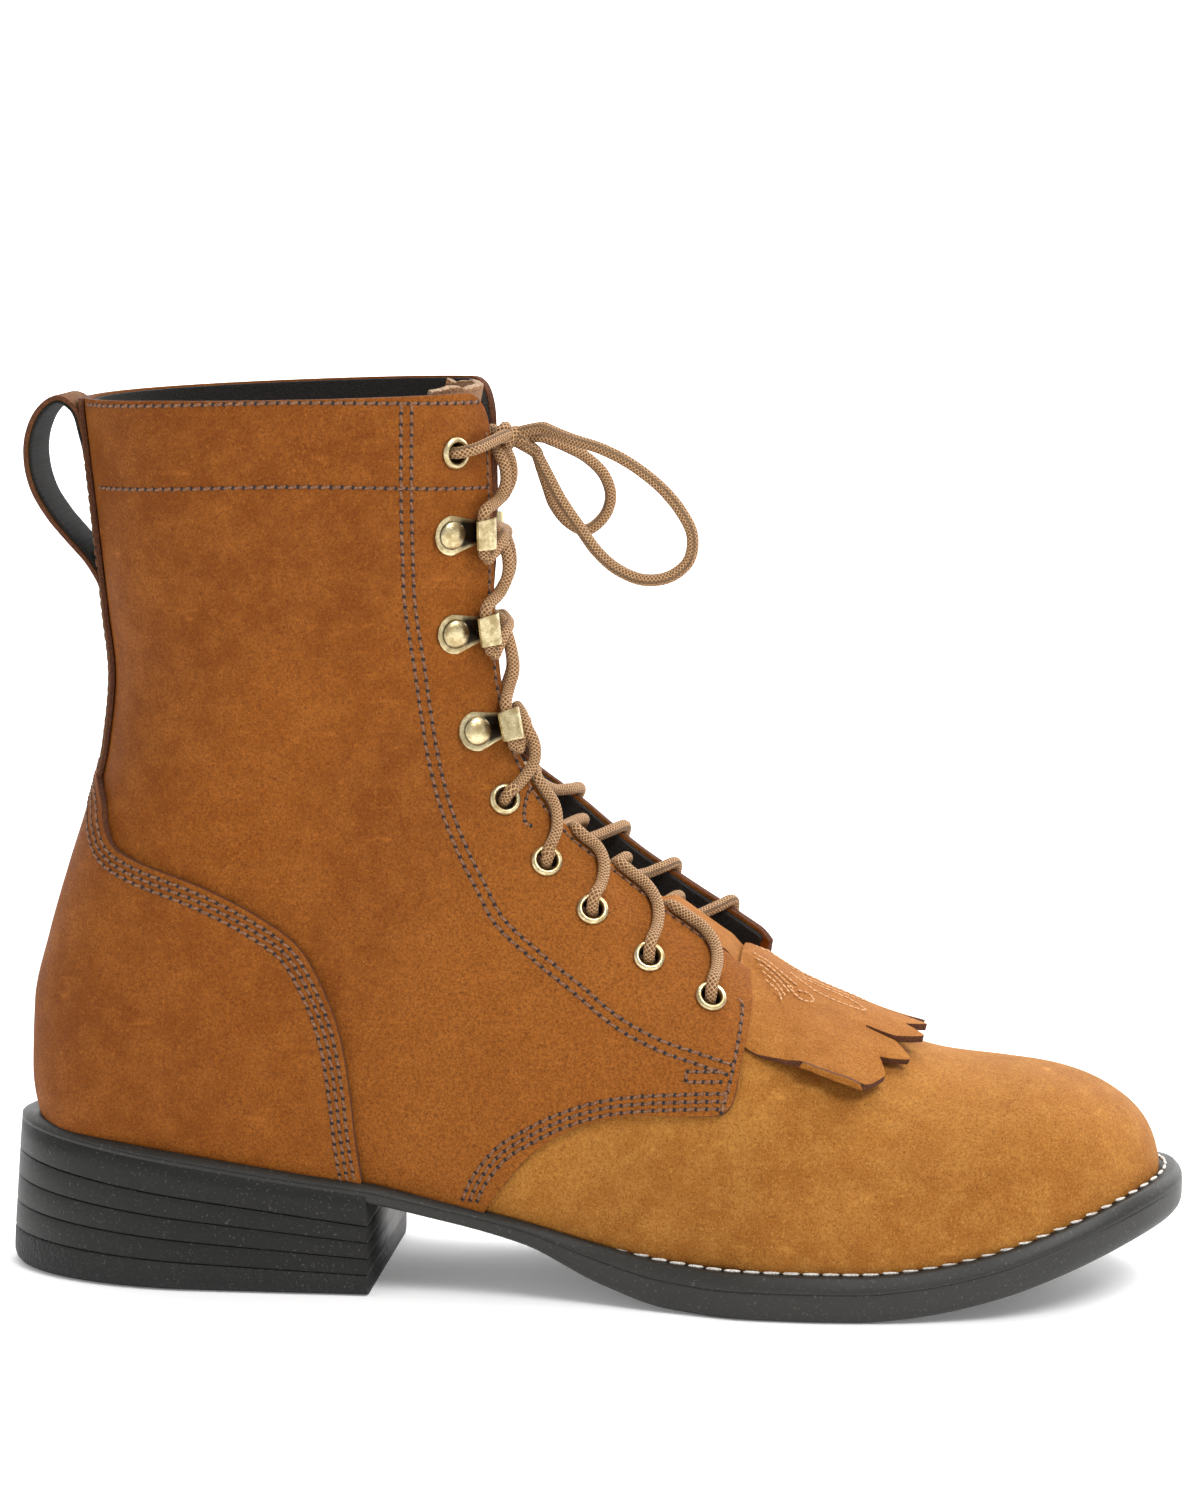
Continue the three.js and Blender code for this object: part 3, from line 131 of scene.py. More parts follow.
# Sections of the upper, toe to collar: shares of the sole's length, the rises and the width
# front, vamp, shaft, back, heel, width, lateral, medial, widest, lower, upper
FOOT, BALL, WAIST, HEEL, SHAFT = 0, BALL_WIDTH, WAIST_WIDTH, HEEL_WIDTH, SHAFT_WIDTH
SECTIONS = [
    (0.9802, 0.03, 0, 0.9802, 0, FOOT, 1, 1, 0.5, 2.2, 2.2),
    (0.9773, 0.09, 0, 0.9773, 0, FOOT, 1, 1, 0.45, 2.5, 2.3),
    (0.9708, 0.166, 0, 0.9708, 0, FOOT, 1, 1, 0.42, 2.8, 2.3),
    (0.9594, 0.245, 0, 0.9594, 0, FOOT, 1, 1, 0.4, 3.2, 2.3),
    (0.9432, 0.321, 0, 0.9432, 0, FOOT, 1, 1, 0.38, 3.5, 2.3),
    (0.9205, 0.404, 0, 0.9205, 0, FOOT, 1, 1, 0.36, 3.8, 2.3),
    (0.8896, 0.485, 0, 0.8896, 0, FOOT, 1, 1, 0.34, 4, 2.3),
    (0.8506, 0.56, 0, 0.8506, 0, FOOT, 1, 1, 0.32, 4, 2.25),
    (0.8052, 0.63, 0, 0.8052, 0, FOOT, 1, 1, 0.3, 4, 2.2),
    (0.7597, 0.711, 0, 0.7597, 0, FOOT, 1, 1, 0.29, 4, 2.1),
    (0.7143, 0.804, 0, 0.712, 0, FOOT, 1, 1, 0.28, 4, 2.05),
    (0.6753, 0.893, 0, 0.665, 0, FOOT, 1, 1, 0.27, 4, 2.05),
    (0.6396, 1, 0, 0.617, 0, BALL, 0.432, 0.385, 0.27, 4, 2.1),
    (0.6039, 1, 0.06, 0.5584, 0, WAIST, 0.632, 0.55, 0.27, 4, 2.25),
    (0.5649, 1, 0.118, 0.487, 0, WAIST, 0.575, 0.505, 0.27, 4, 2.4),
    (0.526, 1, 0.172, 0.4026, 0, WAIST, 0.54, 0.47, 0.28, 4, 2.55),
    (0.4968, 1, 0.215, 0.2987, 0, HEEL, 0.459, 0.445, 0.28, 4, 2.6),
    (0.474, 1, 0.273, 0.1916, 0, HEEL, 0.438, 0.432, 0.28, 3.8, 2.6),
    (0.4594, 1, 0.333, 0.0974, 0, HEEL, 0.431, 0.425, 0.3, 3, 2.55),
    (0.4497, 1, 0.397, 0.0455, 0.02, HEEL, 0.425, 0.418, 0.34, 2.5, 2.5),
    (0.4432, 1, 0.459, 0.0318, 0.1, HEEL, 0.425, 0.418, 0.38, 2.25, 2.45),
    (0.439, 1, 0.522, 0.0338, 0.19, HEEL, 0.425, 0.418, 0.4, 2.15, 2.4),
    (0.4357, 1, 0.586, 0.0471, 0.282, HEEL, 0.427, 0.42, 0.42, 2.1, 2.35),
    (0.4338, 1, 0.641, 0.0649, 0.378, SHAFT, 0.386, 0.382, 0.44, 2.1, 2.3),
    (0.4318, 1, 0.698, 0.0828, 0.468, SHAFT, 0.397, 0.394, 0.45, 2.1, 2.3),
    (0.4302, 1, 0.755, 0.0958, 0.557, SHAFT, 0.41, 0.408, 0.46, 2.1, 2.25),
    (0.4286, 1, 0.812, 0.1013, 0.645, SHAFT, 0.427, 0.425, 0.47, 2.1, 2.25),
    (0.4273, 1, 0.87, 0.0974, 0.735, SHAFT, 0.447, 0.447, 0.48, 2.15, 2.2),
    (0.4256, 1, 0.926, 0.0909, 0.85, SHAFT, 0.465, 0.465, 0.48, 2.2, 2.2),
    (0.4237, 1, 1, 0.0812, 1, SHAFT, 0.482, 0.482, 0.48, 2.2, 2.2),
]
COLLAR_ROW = len(SECTIONS) - 1


def ease(u):
    return u * u * (3 - 2 * u)


def lengths(line):
    """How far along a line each of its points is."""
    return np.concatenate([[0], np.cumsum(np.linalg.norm(np.diff(line, axis=0), axis=1))])


def curve(x, y):
    """Smooth curve through points, with no overshoot between them."""
    x, y = np.array(x, float), np.array(y, float)
    slope = np.diff(y) / np.diff(x)
    before, after = slope[:-1], slope[1:]
    same = before * after > 0
    inner = np.where(same, 2 * before * after / np.where(same, before + after, 1), 0)
    tangent = np.concatenate([slope[:1], inner, slope[-1:]])

    def at(v):
        v = np.asarray(v, float)
        i = np.clip(np.searchsorted(x, v, side="right") - 1, 0, len(x) - 2)
        h = x[i + 1] - x[i]
        u = np.clip((v - x[i]) / h, 0, 1)
        rise = ease(u)
        return (
            y[i] * (1 - rise)
            + y[i + 1] * rise
            + tangent[i] * h * u * (1 - u) ** 2
            - tangent[i + 1] * h * u * u * (1 - u)
        )

    return at


def columns(rows):
    return [np.array(column, float) for column in zip(*rows)]


plan_at, plan_width, plan_outer, plan_inner = columns(PLAN)
PLAN_HALF = {
    LATERAL: curve(plan_at, plan_width * plan_outer),
    MEDIAL: curve(plan_at, plan_width * plan_inner),
}
profile_at, profile_seat, profile_spring, profile_full = columns(PROFILE)
SEAT_SHARE = curve(profile_at, profile_seat)
SPRING_SHARE = curve(profile_at, profile_spring)
FULL_SHARE = curve(profile_at, profile_full)


def share(x):
    return (np.asarray(x, float) - HEEL_END) / SOLE_LENGTH


def sole_top(x):
    at = share(x)
    return SOLE_EDGE + SEAT_SHARE(at) * (HEEL_SEAT - SOLE_EDGE) + SPRING_SHARE(at) * TOE_SPRING


def sole_bottom(x):
    return sole_top(x) - SHANK - FULL_SHARE(share(x)) * (SOLE_EDGE - SHANK)


def heel_line(line, x):
    breast, back = line
    return back + (breast - back) * np.clip((np.asarray(x) - HEEL_END) / HEEL_LENGTH, 0, 1)


def rounded(far, length, power):
    """Share of the full width at a distance from a rounded end."""
    u = np.clip(far / length, 0, 1)
    return (1 - (1 - u) ** power) ** (1 / power)


def foot_half(x, side):
    """Half width of the upper over the forefoot, where it follows the sole's outline."""
    length, power = TOE_ROUND
    tip = HEEL_END + SECTIONS[0][0] * SOLE_LENGTH + TIP_ROOM
    return (PLAN_HALF[side](share(x)) - VAMP_LEDGE) * rounded(tip - x, length - VAMP_LEDGE, power) / CAP_FULL


def form_curves():
    front, vamp, shaft, back, heel, width, lateral, medial, widest, lower, upper = columns(SECTIONS)
    rows = np.arange(len(SECTIONS))
    front_x = HEEL_END + front * SOLE_LENGTH
    back_x = HEEL_END + back * SOLE_LENGTH
    return {
        "front_x": curve(rows, front_x),
        "front_z": curve(rows, sole_top(front_x) + vamp * VAMP_RISE + shaft * SHAFT_RISE),
        "back_x": curve(rows, back_x),
        "back_z": curve(rows, sole_top(back_x) - BURY + heel * (BACK_RISE + BURY)),
        LATERAL: curve(rows, np.where(width > 0, width * lateral, foot_half(front_x, LATERAL))),
        MEDIAL: curve(rows, np.where(width > 0, width * medial, foot_half(front_x, MEDIAL))),
        "widest": curve(rows, widest),
        "lower": curve(rows, lower),
        "upper": curve(rows, upper),
    }


FORM = form_curves()


def on_form(t, v, side):
    """Points of the last at section row t, v of the way from the section's back to its ridge."""
    cut = {key: at(t) for key, at in FORM.items()}
    half = np.where(np.asarray(side) < 0, cut[LATERAL], cut[MEDIAL])
    above = v > cut["widest"]
    k = np.where(above, (v - cut["widest"]) / (1 - cut["widest"]), (cut["widest"] - v) / cut["widest"])
    power = np.where(above, cut["upper"], cut["lower"])
    y = side * half * (1 - np.clip(k, 0, 1) ** power) ** (1 / power)
    lift = np.maximum(0, t - COLLAR_ROW) * OVER
    x = cut["back_x"] + v * (cut["front_x"] - cut["back_x"])
    z = cut["back_z"] + v * (cut["front_z"] - cut["back_z"]) + lift
    return np.stack(np.broadcast_arrays(x, y, z), -1)


# Tables that turn a share g of a section's length, from its back to its ridge, into v
ROWS = np.linspace(0, COLLAR_ROW + 1.5, 611)
SHARES = np.linspace(0, 1, 401)


def section_tables():
    q = np.linspace(0, 1, 240) ** 3
    tables = {}
    for side in (LATERAL, MEDIAL):
        v_rows, length, sole, throat = [], [], [], []
        for t in ROWS:
            widest = FORM["widest"](t)
            v = np.concatenate([widest * q, 1 - (1 - widest) * q[::-1][1:]])
            v[-1] = 1
            p = on_form(np.full_like(v, t), v, side)
            run = lengths(p)
            g = run / run[-1]
            v_rows.append(np.interp(SHARES, g, v))
            length.append(run[-1])
            over = p[:, 2] - sole_top(p[:, 0])
            start = np.argmax(over > 0)
            pair = slice(start - 1, start + 1)
            sole.append(0 if start == 0 else np.interp(0, over[pair], g[pair]))
            upper = v > widest
            edge = abs(THROAT_SHIFT + side * THROAT / 2)
            throat.append(np.interp(-edge, -np.abs(p[upper, 1]), g[upper]))
        tables[side] = {
            "v": np.array(v_rows),
            "length": np.array(length),
            "sole": np.array(sole),
            "throat": np.array(throat),
        }
    return tables


TABLES = section_tables()


def line(name, t, side):
    """A table's value at row t: the section's length, or the share g at the sole or the throat."""
    outer = np.interp(t, ROWS, TABLES[LATERAL][name])
    inner = np.interp(t, ROWS, TABLES[MEDIAL][name])
    return np.where(np.asarray(side) < 0, outer, inner)


def v_of(t, g, side):
    r = np.clip(np.asarray(t, float) / ROWS[-1] * (len(ROWS) - 1), 0, len(ROWS) - 1.001)
    c = np.clip(np.asarray(g, float) * (len(SHARES) - 1), 0, len(SHARES) - 1.001)
    i, j = r.astype(int), c.astype(int)
    r, c = r - i, c - j

    def look(table):
        low = table[i, j] * (1 - c) + table[i, j + 1] * c
        high = table[i + 1, j] * (1 - c) + table[i + 1, j + 1] * c
        return low * (1 - r) + high * r

    return np.where(np.asarray(side) < 0, look(TABLES[LATERAL]["v"]), look(TABLES[MEDIAL]["v"]))


def skin(t, g, side):
    t, g, side = np.broadcast_arrays(np.asarray(t, float), np.asarray(g, float), side)
    return on_form(t, v_of(t, g, side), side)


def normals(t, g, side):
    t, g, side = np.broadcast_arrays(np.asarray(t, float), np.asarray(g, float), side)
    dt, dg = 0.04, 0.006
    along = skin(np.clip(t + dt, 0, ROWS[-1]), g, side) - skin(np.clip(t - dt, 0, ROWS[-1]), g, side)
    across = skin(t, np.clip(g + dg, 0, 1), side) - skin(t, np.clip(g - dg, 0, 1), side)
    n = np.cross(along, across) * side[..., None]
    return n / np.maximum(1e-9, np.linalg.norm(n, axis=-1, keepdims=True))


def shell_point(t, g, side, offset):
    p = skin(t, g, side)
    n = normals(t, g, side)
    return p + n * np.asarray(offset)[..., None]


def locate(x, z, side):
    """Row t and share g of points of the form given in side view."""
    x, z = np.atleast_1d(x), np.atleast_1d(z)
    cut = {key: FORM[key](ROWS) for key in ("front_x", "front_z", "back_x", "back_z")}
    lift = np.maximum(0, ROWS - COLLAR_ROW) * OVER
    fx, fz, bx, bz = cut["front_x"], cut["front_z"] + lift, cut["back_x"], cut["back_z"] + lift
    rows, shares = [], []
    for px, pz in zip(x, z):
        cross = (fx - bx) * (pz - bz) - (fz - bz) * (px - bx)
        v = ((px - bx) * (fx - bx) + (pz - bz) * (fz - bz)) / ((fx - bx) ** 2 + (fz - bz) ** 2)
        change = np.where((cross[:-1] * cross[1:] <= 0) & (v[:-1] > -0.3) & (v[:-1] < 1.3))[0]
        i = change[0] if len(change) else int(np.argmin(abs(cross)))
        i = min(i, len(ROWS) - 2)
        f = cross[i] / (cross[i] - cross[i + 1]) if len(change) else 0
        t = ROWS[i] + f * (ROWS[i + 1] - ROWS[i])
        at = v[i] + f * (v[i + 1] - v[i])
        table = TABLES[side]["v"]
        row = table[i] * (1 - f) + table[i + 1] * f
        rows.append(t)
        shares.append(np.interp(at, row, SHARES))
    return np.array(rows), np.array(shares)


# Relief of the leather: soft troughs and ridges, as ends (along, rise), width and depth
CREASES = [
    ((0.30, 2.05), (0.40, 2.16), 7, -0.5),
    ((0.31, 1.55), (0.40, 1.66), 6, -0.55),
    ((0.22, 1.42), (0.36, 1.30), 8, -0.5),
    ((0.25, 1.25), (0.38, 1.08), 7, 0.4),
    ((0.36, 1.05), (0.48, 0.78), 6, -0.45),
    ((0.13, 1.75), (0.20, 1.62), 8, -0.4),
    ((0.15, 0.55), (0.24, 0.30), 9, -0.4),
    ((0.375, 2.36), (0.41, 2.40), 3, -0.45),
    ((0.375, 2.02), (0.41, 2.08), 3, -0.4),
    ((0.375, 1.80), (0.42, 1.88), 3, -0.4),
    ((0.66, 0.42), (0.72, 0.60), 5, -0.4),
    ((0.72, 0.30), (0.79, 0.52), 6, -0.35),
    ((0.69, 0.34), (0.75, 0.56), 5, 0.3),
]


def relief(points):
    """How far the leather stands off its form for the creases that fall there."""
    x, z = points[..., 0], points[..., 2]
    total = np.zeros_like(x)
    for start, end, width, depth in CREASES:
        ends = []
        for along, rise in (start, end):
            px = HEEL_END + along * SOLE_LENGTH
            ends.append(np.array([px, float(sole_top(px)) + rise * VAMP_RISE]))
        run = ends[1] - ends[0]
        u = ((x - ends[0][0]) * run[0] + (z - ends[0][1]) * run[1]) / (run @ run)
        c = np.clip(u, 0, 1)
        far = np.hypot(x - ends[0][0] - c * run[0], z - ends[0][1] - c * run[1])
        total = total + depth * np.exp(-((far / width) ** 2))
    return total


def leather(t, g, side, offset):
    """Points and normals of a leather face at an offset from the form, creases included."""
    p, n = skin(t, g, side), normals(t, g, side)
    return p + n * (np.asarray(offset) + relief(p))[..., None], n


def standing(t, g, side):
    """How far the inner facing stands open along the lacing."""
    gap = (line("throat", t, side) - g) * line("length", t, side)
    # It opens over 1.5 rows from row 10.9, closes over 3.4 rows up to row 19.6, and reaches 19 mm back
    along = ease(np.clip((t - 10.9) / 1.5, 0, 1) * np.clip((19.6 - t) / 3.4, 0, 1))
    near = np.clip(1 - gap / 19, 0, 1) ** 2 * np.clip(1 + gap / 9, 0, 1)
    return np.where(np.asarray(side) > 0, FLAP_OPEN * along * np.minimum(near, 1), 0)


def facing(t, g, side, offset):
    """Points and normals of a quarter's face, with its flap standing open."""
    return leather(t, g, side, np.asarray(offset) + standing(t, g, side))


def width_share(t, y):
    """Share v of the section at row t, above its widest part, where the form is y out from the middle."""
    half = np.where(y < 0, FORM[LATERAL](t), FORM[MEDIAL](t))
    widest, power = FORM["widest"](t), FORM["upper"](t)
    return widest + (1 - widest) * (1 - np.clip(abs(y) / half, 0, 1) ** power) ** (1 / power)


def shelf(t, y):
    """Share g of the same place, and its side."""
    t, y = np.broadcast_arrays(np.asarray(t, float), np.asarray(y, float))
    side, v, g = np.where(y < 0, LATERAL, MEDIAL), width_share(t, y), np.empty(t.shape)
    for at in np.ndindex(t.shape):
        i = min(len(ROWS) - 1, int(round(t[at] / ROWS[-1] * (len(ROWS) - 1))))
        g[at] = np.interp(v[at], TABLES[int(side[at])]["v"][i], SHARES)
    return g, side


def over_form(t, y, offset):
    """A point off the form at row t, y out from the middle."""
    g, side = shelf(t, y)
    return shell_point(t, g, side, offset + standing(t, g, side))


# Meshes
def posed(right, up, back, place):
    """A matrix from three axes and a place."""
    pose = np.eye(4)
    pose[:3, 0], pose[:3, 1], pose[:3, 2], pose[:3, 3] = right, up, back, place
    return pose


def link(name, data):
    made = bpy.data.objects.new(name, data)
    bpy.context.scene.collection.objects.link(made)
    return made


def make_mesh(name, points, faces, materials, **fields):
    """A smooth piece that rides the root, with its fields as one number a point."""
    data = bpy.data.meshes.new(name)
    faces = faces if isinstance(faces, list) else faces.tolist()
    data.from_pydata((np.asarray(points) * MM).tolist(), [], faces)
    for material in materials:
        data.materials.append(material)
    data.polygons.foreach_set("use_smooth", [True] * len(data.polygons))
    for key, values in fields.items():
        values = np.asarray(values, np.float32).ravel()
        data.attributes.new(key, "FLOAT", "POINT").data.foreach_set("value", values)
    data.update()
    piece = link(name, data)
    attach(piece, "root")
    return piece


def grid_faces(rows, columns, keep=None, around=False):
    i, j = np.meshgrid(np.arange(rows - 1), np.arange(columns if around else columns - 1), indexing="ij")
    k = (j + 1) % columns
    faces = np.stack([i * columns + j, i * columns + k, (i + 1) * columns + k, (i + 1) * columns + j], -1)
    faces = faces.reshape(-1, 4)
    return faces if keep is None else faces[keep]


def facing_out(points, faces, outward):
    p = points.reshape(-1, 3)
    n = np.cross(p[faces[:, 2]] - p[faces[:, 0]], p[faces[:, 3]] - p[faces[:, 1]])
    return faces if (n * outward.reshape(-1, 3)[faces[:, 0]]).sum() > 0 else faces[:, ::-1]


def thicken(piece, thickness, rim=0, inside=0, rounding=0.45):
    """Gives a face its thickness inwards, with rounded cut edges."""
    solid = piece.modifiers.new("thickness", "SOLIDIFY")
    solid.thickness = thickness * MM
    solid.offset = -1
    solid.material_offset_rim = rim
    solid.material_offset = inside
    bevel = piece.modifiers.new("edges", "BEVEL")
    bevel.width = rounding * MM
    bevel.segments = 3
    bevel.limit_method = "ANGLE"
    bevel.angle_limit = math.radians(EDGE_ANGLE)
    return piece


def panel(name, points, outward, materials, thickness, keep=None, rounding=0.45, inside=0, **fields):
    rows, columns = points.shape[:2]
    faces = facing_out(points, grid_faces(rows, columns, keep), outward)
    piece = make_mesh(name, points.reshape(-1, 3), faces, materials, **fields)
    return thicken(piece, thickness, rim=1 if len(materials) > 1 else 0, inside=inside, rounding=rounding)


def clean(piece, distance=0.02):
    """Drops unused points and joins doubled ones."""
    mesh = bmesh.new()
    mesh.from_mesh(piece.data)
    loose = [v for v in mesh.verts if not v.link_faces]
    bmesh.ops.delete(mesh, geom=loose, context="VERTS")
    bmesh.ops.remove_doubles(mesh, verts=mesh.verts, dist=distance * MM)
    mesh.to_mesh(piece.data)
    mesh.free()
    return piece


def spline(points, step):
    """Smooth line through points, in even steps."""
    p = np.asarray(points, float)
    gap = np.sqrt(np.linalg.norm(np.diff(p, axis=0), axis=1)) + 1e-6
    at = np.concatenate([[0], np.cumsum(gap)])
    ends = np.vstack([2 * p[0] - p[1], p, 2 * p[-1] - p[-2]])
    knots = np.concatenate([[at[0] - gap[0]], at, [at[-1] + gap[-1]]])
    fine = []
    for i in range(1, len(p)):
        a, b, c, d = ends[i - 1 : i + 3]
        ka, kb, kc, kd = knots[i - 1 : i + 3]
        u = np.linspace(kb, kc, 24, endpoint=False)[:, None]
        ab = (kb - u) / (kb - ka) * a + (u - ka) / (kb - ka) * b
        bc = (kc - u) / (kc - kb) * b + (u - kb) / (kc - kb) * c
        cd = (kd - u) / (kd - kc) * c + (u - kc) / (kd - kc) * d
        abc = (kc - u) / (kc - ka) * ab + (u - ka) / (kc - ka) * bc
        bcd = (kd - u) / (kd - kb) * bc + (u - kb) / (kd - kb) * cd
        fine.append((kc - u) / (kc - kb) * abc + (u - kb) / (kc - kb) * bcd)
    fine = np.vstack(fine + [p[-1:]])
    run = lengths(fine)
    count = max(2, int(round(run[-1] / step)) + 1)
    even = np.linspace(0, run[-1], count)
    return np.stack([np.interp(even, run, fine[:, k]) for k in range(3)], -1)


def directions(line):
    d = np.gradient(line, axis=0)
    return d / np.linalg.norm(d, axis=1, keepdims=True)


def tube(name, line, radius, material):
    """A round cord along a line; its ends are domed."""
    ahead = directions(line)
    side = np.cross(ahead[0], [0.3, 0.2, 0.9])
    side /= np.linalg.norm(side)
    rings = []
    for d in ahead:
        side = side - d * (side @ d)
        side /= np.linalg.norm(side)
        rings.append((side, np.cross(d, side)))
    angles = np.linspace(0, 2 * np.pi, CORD_SIDES, endpoint=False)
    along = lengths(line)
    caps = [(-0.86, 0.5), (-0.5, 0.86)]
    levels = [(0, push * radius, share) for push, share in caps]
    levels += [(i, 0, 1) for i in range(len(line))]
    levels += [(len(line) - 1, -push * radius, share) for push, share in caps[::-1]]
    points, run = [], []
    for i, push, share in levels:
        a, b = rings[i]
        ring = np.cos(angles)[:, None] * a + np.sin(angles)[:, None] * b
        points.append(line[i] + ahead[i] * push + radius * share * ring)
        run.append(np.full(CORD_SIDES, along[i] + push))
    turn = np.tile(angles / (2 * np.pi), len(levels))
    faces = grid_faces(len(levels), CORD_SIDES, around=True)[:, ::-1].tolist()
    faces += ends_of(0, len(levels), CORD_SIDES)
    return make_mesh(name, np.vstack(points), faces, [material], run=np.concatenate(run), turn=turn)


def ends_of(start, levels, sides):
    """The two end faces of a closed rod whose points begin at start."""
    last = start + levels * sides - 1
    return [[start + i for i in range(sides)], [last - i for i in range(sides)]]


def capsules(name, places, material):
    """Small rounded rods as one mesh: middle, direction, normal, half length, half width, half height."""
    stages = [(-1, 0.3), (-0.75, 0.85), (0, 1), (0.75, 0.85), (1, 0.3)]
    angles = np.linspace(0, 2 * np.pi, STITCH_SIDES, endpoint=False)
    points, faces = [], []
    base = grid_faces(len(stages), STITCH_SIDES, around=True)[:, ::-1]
    for k, (middle, d, n, length, width, height) in enumerate(places):
        d = d / np.linalg.norm(d)
        b = np.cross(n, d)
        b /= np.linalg.norm(b)
        up = np.cross(d, b)
        for s, share in stages:
            ring = np.cos(angles)[:, None] * b * width + np.sin(angles)[:, None] * up * height
            points.append(middle + d * s * length + share * ring)
        start = k * len(stages) * STITCH_SIDES
        faces += (base + start).tolist() + ends_of(start, len(stages), STITCH_SIDES)
    return make_mesh(name, np.vstack(points), faces, [material])


def turned(name, profile, matrix, material, dark):
    """A ring or dome turned about a fitting's own axis, with its painted shade at each point of the profile.
    """
    angles = np.linspace(0, 2 * np.pi, TURNED_SIDES, endpoint=False)
    r, z = np.array(profile, float).T
    ring = np.outer(r, np.cos(angles)), np.outer(r, np.sin(angles)), np.outer(z, np.ones(TURNED_SIDES))
    points = np.stack(ring, -1) @ matrix[:3, :3].T + matrix[:3, 3]
    faces = grid_faces(len(profile), TURNED_SIDES, around=True)
    return make_mesh(name, points.reshape(-1, 3), faces, [material], dark=np.repeat(dark, TURNED_SIDES))


# Shader sums
def linear(colour, by=1):
    """A colour as seen, 0 to 255, made darker or lighter and turned into light."""
    c = [v * by / 255 for v in colour]
    return tuple(v / 12.92 if v <= 0.04045 else ((v + 0.055) / 1.055) ** 2.4 for v in c) + (1.0,)


class Value:
    """A shader socket that takes part in Python sums."""

    def __init__(self, finish, socket):
        self.finish, self.socket = finish, socket

    def math(self, operation, *others):
        terms = (self, *others)
        kinds = [o.socket.type if isinstance(o, Value) else type(o).__name__ for o in terms]
        vector = any(kind in ("RGBA", "VECTOR", "tuple") for kind in kinds)
        kind = "ShaderNodeVectorMath" if vector else "ShaderNodeMath"
        return self.finish.node(kind, {"operation": operation}, dict(enumerate(terms)))

    def __add__(self, other):
        return self.math("ADD", other)

    __radd__ = __add__

    def __mul__(self, other):
        if isinstance(other, (int, float)) and self.socket.type in ("RGBA", "VECTOR"):
            return self.finish.node("ShaderNodeVectorMath", {"operation": "SCALE"}, {0: self, "Scale": other})
        return self.math("MULTIPLY", other)

    __rmul__ = __mul__

    def __sub__(self, other):
        return self.math("SUBTRACT", other)

    def __rsub__(self, other):
        return (self * -1) + other

    def __truediv__(self, other):
        return self.math("DIVIDE", other)

    def __pow__(self, other):
        return self.math("POWER", other)

    def wave(self):
        return self.math("SINE")

    def part(self):
        return self.math("FRACT")

    def size(self):
        return self.math("ABSOLUTE")

    def clamp(self, low, high):
        """0 below low, 1 above high, smooth between."""
        return self.finish.node(
            "ShaderNodeMapRange",
            {"interpolation_type": "SMOOTHSTEP"},
            {"Value": self, "From Min": low, "From Max": high},
        )


class Finish:
    """A procedural material."""

    def __init__(self, name, **constants):
        self.material = bpy.data.materials.new(name)
        self.material.use_nodes = True
        self.tree = self.material.node_tree
        self.shader = self.tree.nodes["Principled BSDF"]
        for key, value in constants.items():
            self.shader.inputs[key.replace("_", " ")].default_value = value

    def node(self, kind, settings, sockets, output=0):
        made = self.tree.nodes.new(kind)
        for key, value in settings.items():
            setattr(made, key, value)
        for key, value in sockets.items():
            if isinstance(value, Value):
                self.tree.links.new(value.socket, made.inputs[key])
            else:
                made.inputs[key].default_value = value
        return Value(self, made.outputs[output])

    def mix(self, factor, a, b):
        """One colour over another; 6, 7 and 2 are the node's colour sockets."""
        return self.node("ShaderNodeMix", {"data_type": "RGBA"}, {"Factor": factor, 6: a, 7: b}, output=2)

    def place(self):
        return self.node("ShaderNodeTexCoord", {}, {}, output="Object")

    def field(self, name):
        return self.node("ShaderNodeAttribute", {"attribute_name": name}, {}, output="Fac")

    def axis(self, name, where):
        return self.node("ShaderNodeSeparateXYZ", {}, {0: where}, output=name)

    def noise(self, scale, detail=3, rough=0.55, where=None, stretch=None):
        where = where or self.place()
        if stretch:
            where = self.node("ShaderNodeVectorMath", {"operation": "MULTIPLY"}, {0: where, 1: stretch})
        sockets = {"Vector": where, "Scale": scale, "Detail": detail, "Roughness": rough}
        return self.node("ShaderNodeTexNoise", {}, sockets)

    def bump(self, height, distance, strength=1.0, normal=None):
        sockets = {"Height": height, "Distance": distance, "Strength": strength}
        if normal:
            sockets["Normal"] = normal
        return self.node("ShaderNodeBump", {}, sockets)

    def set(self, **values):
        for key, value in values.items():
            self.tree.links.new(value.socket, self.shader.inputs[key.replace("_", " ")])
        return self.material


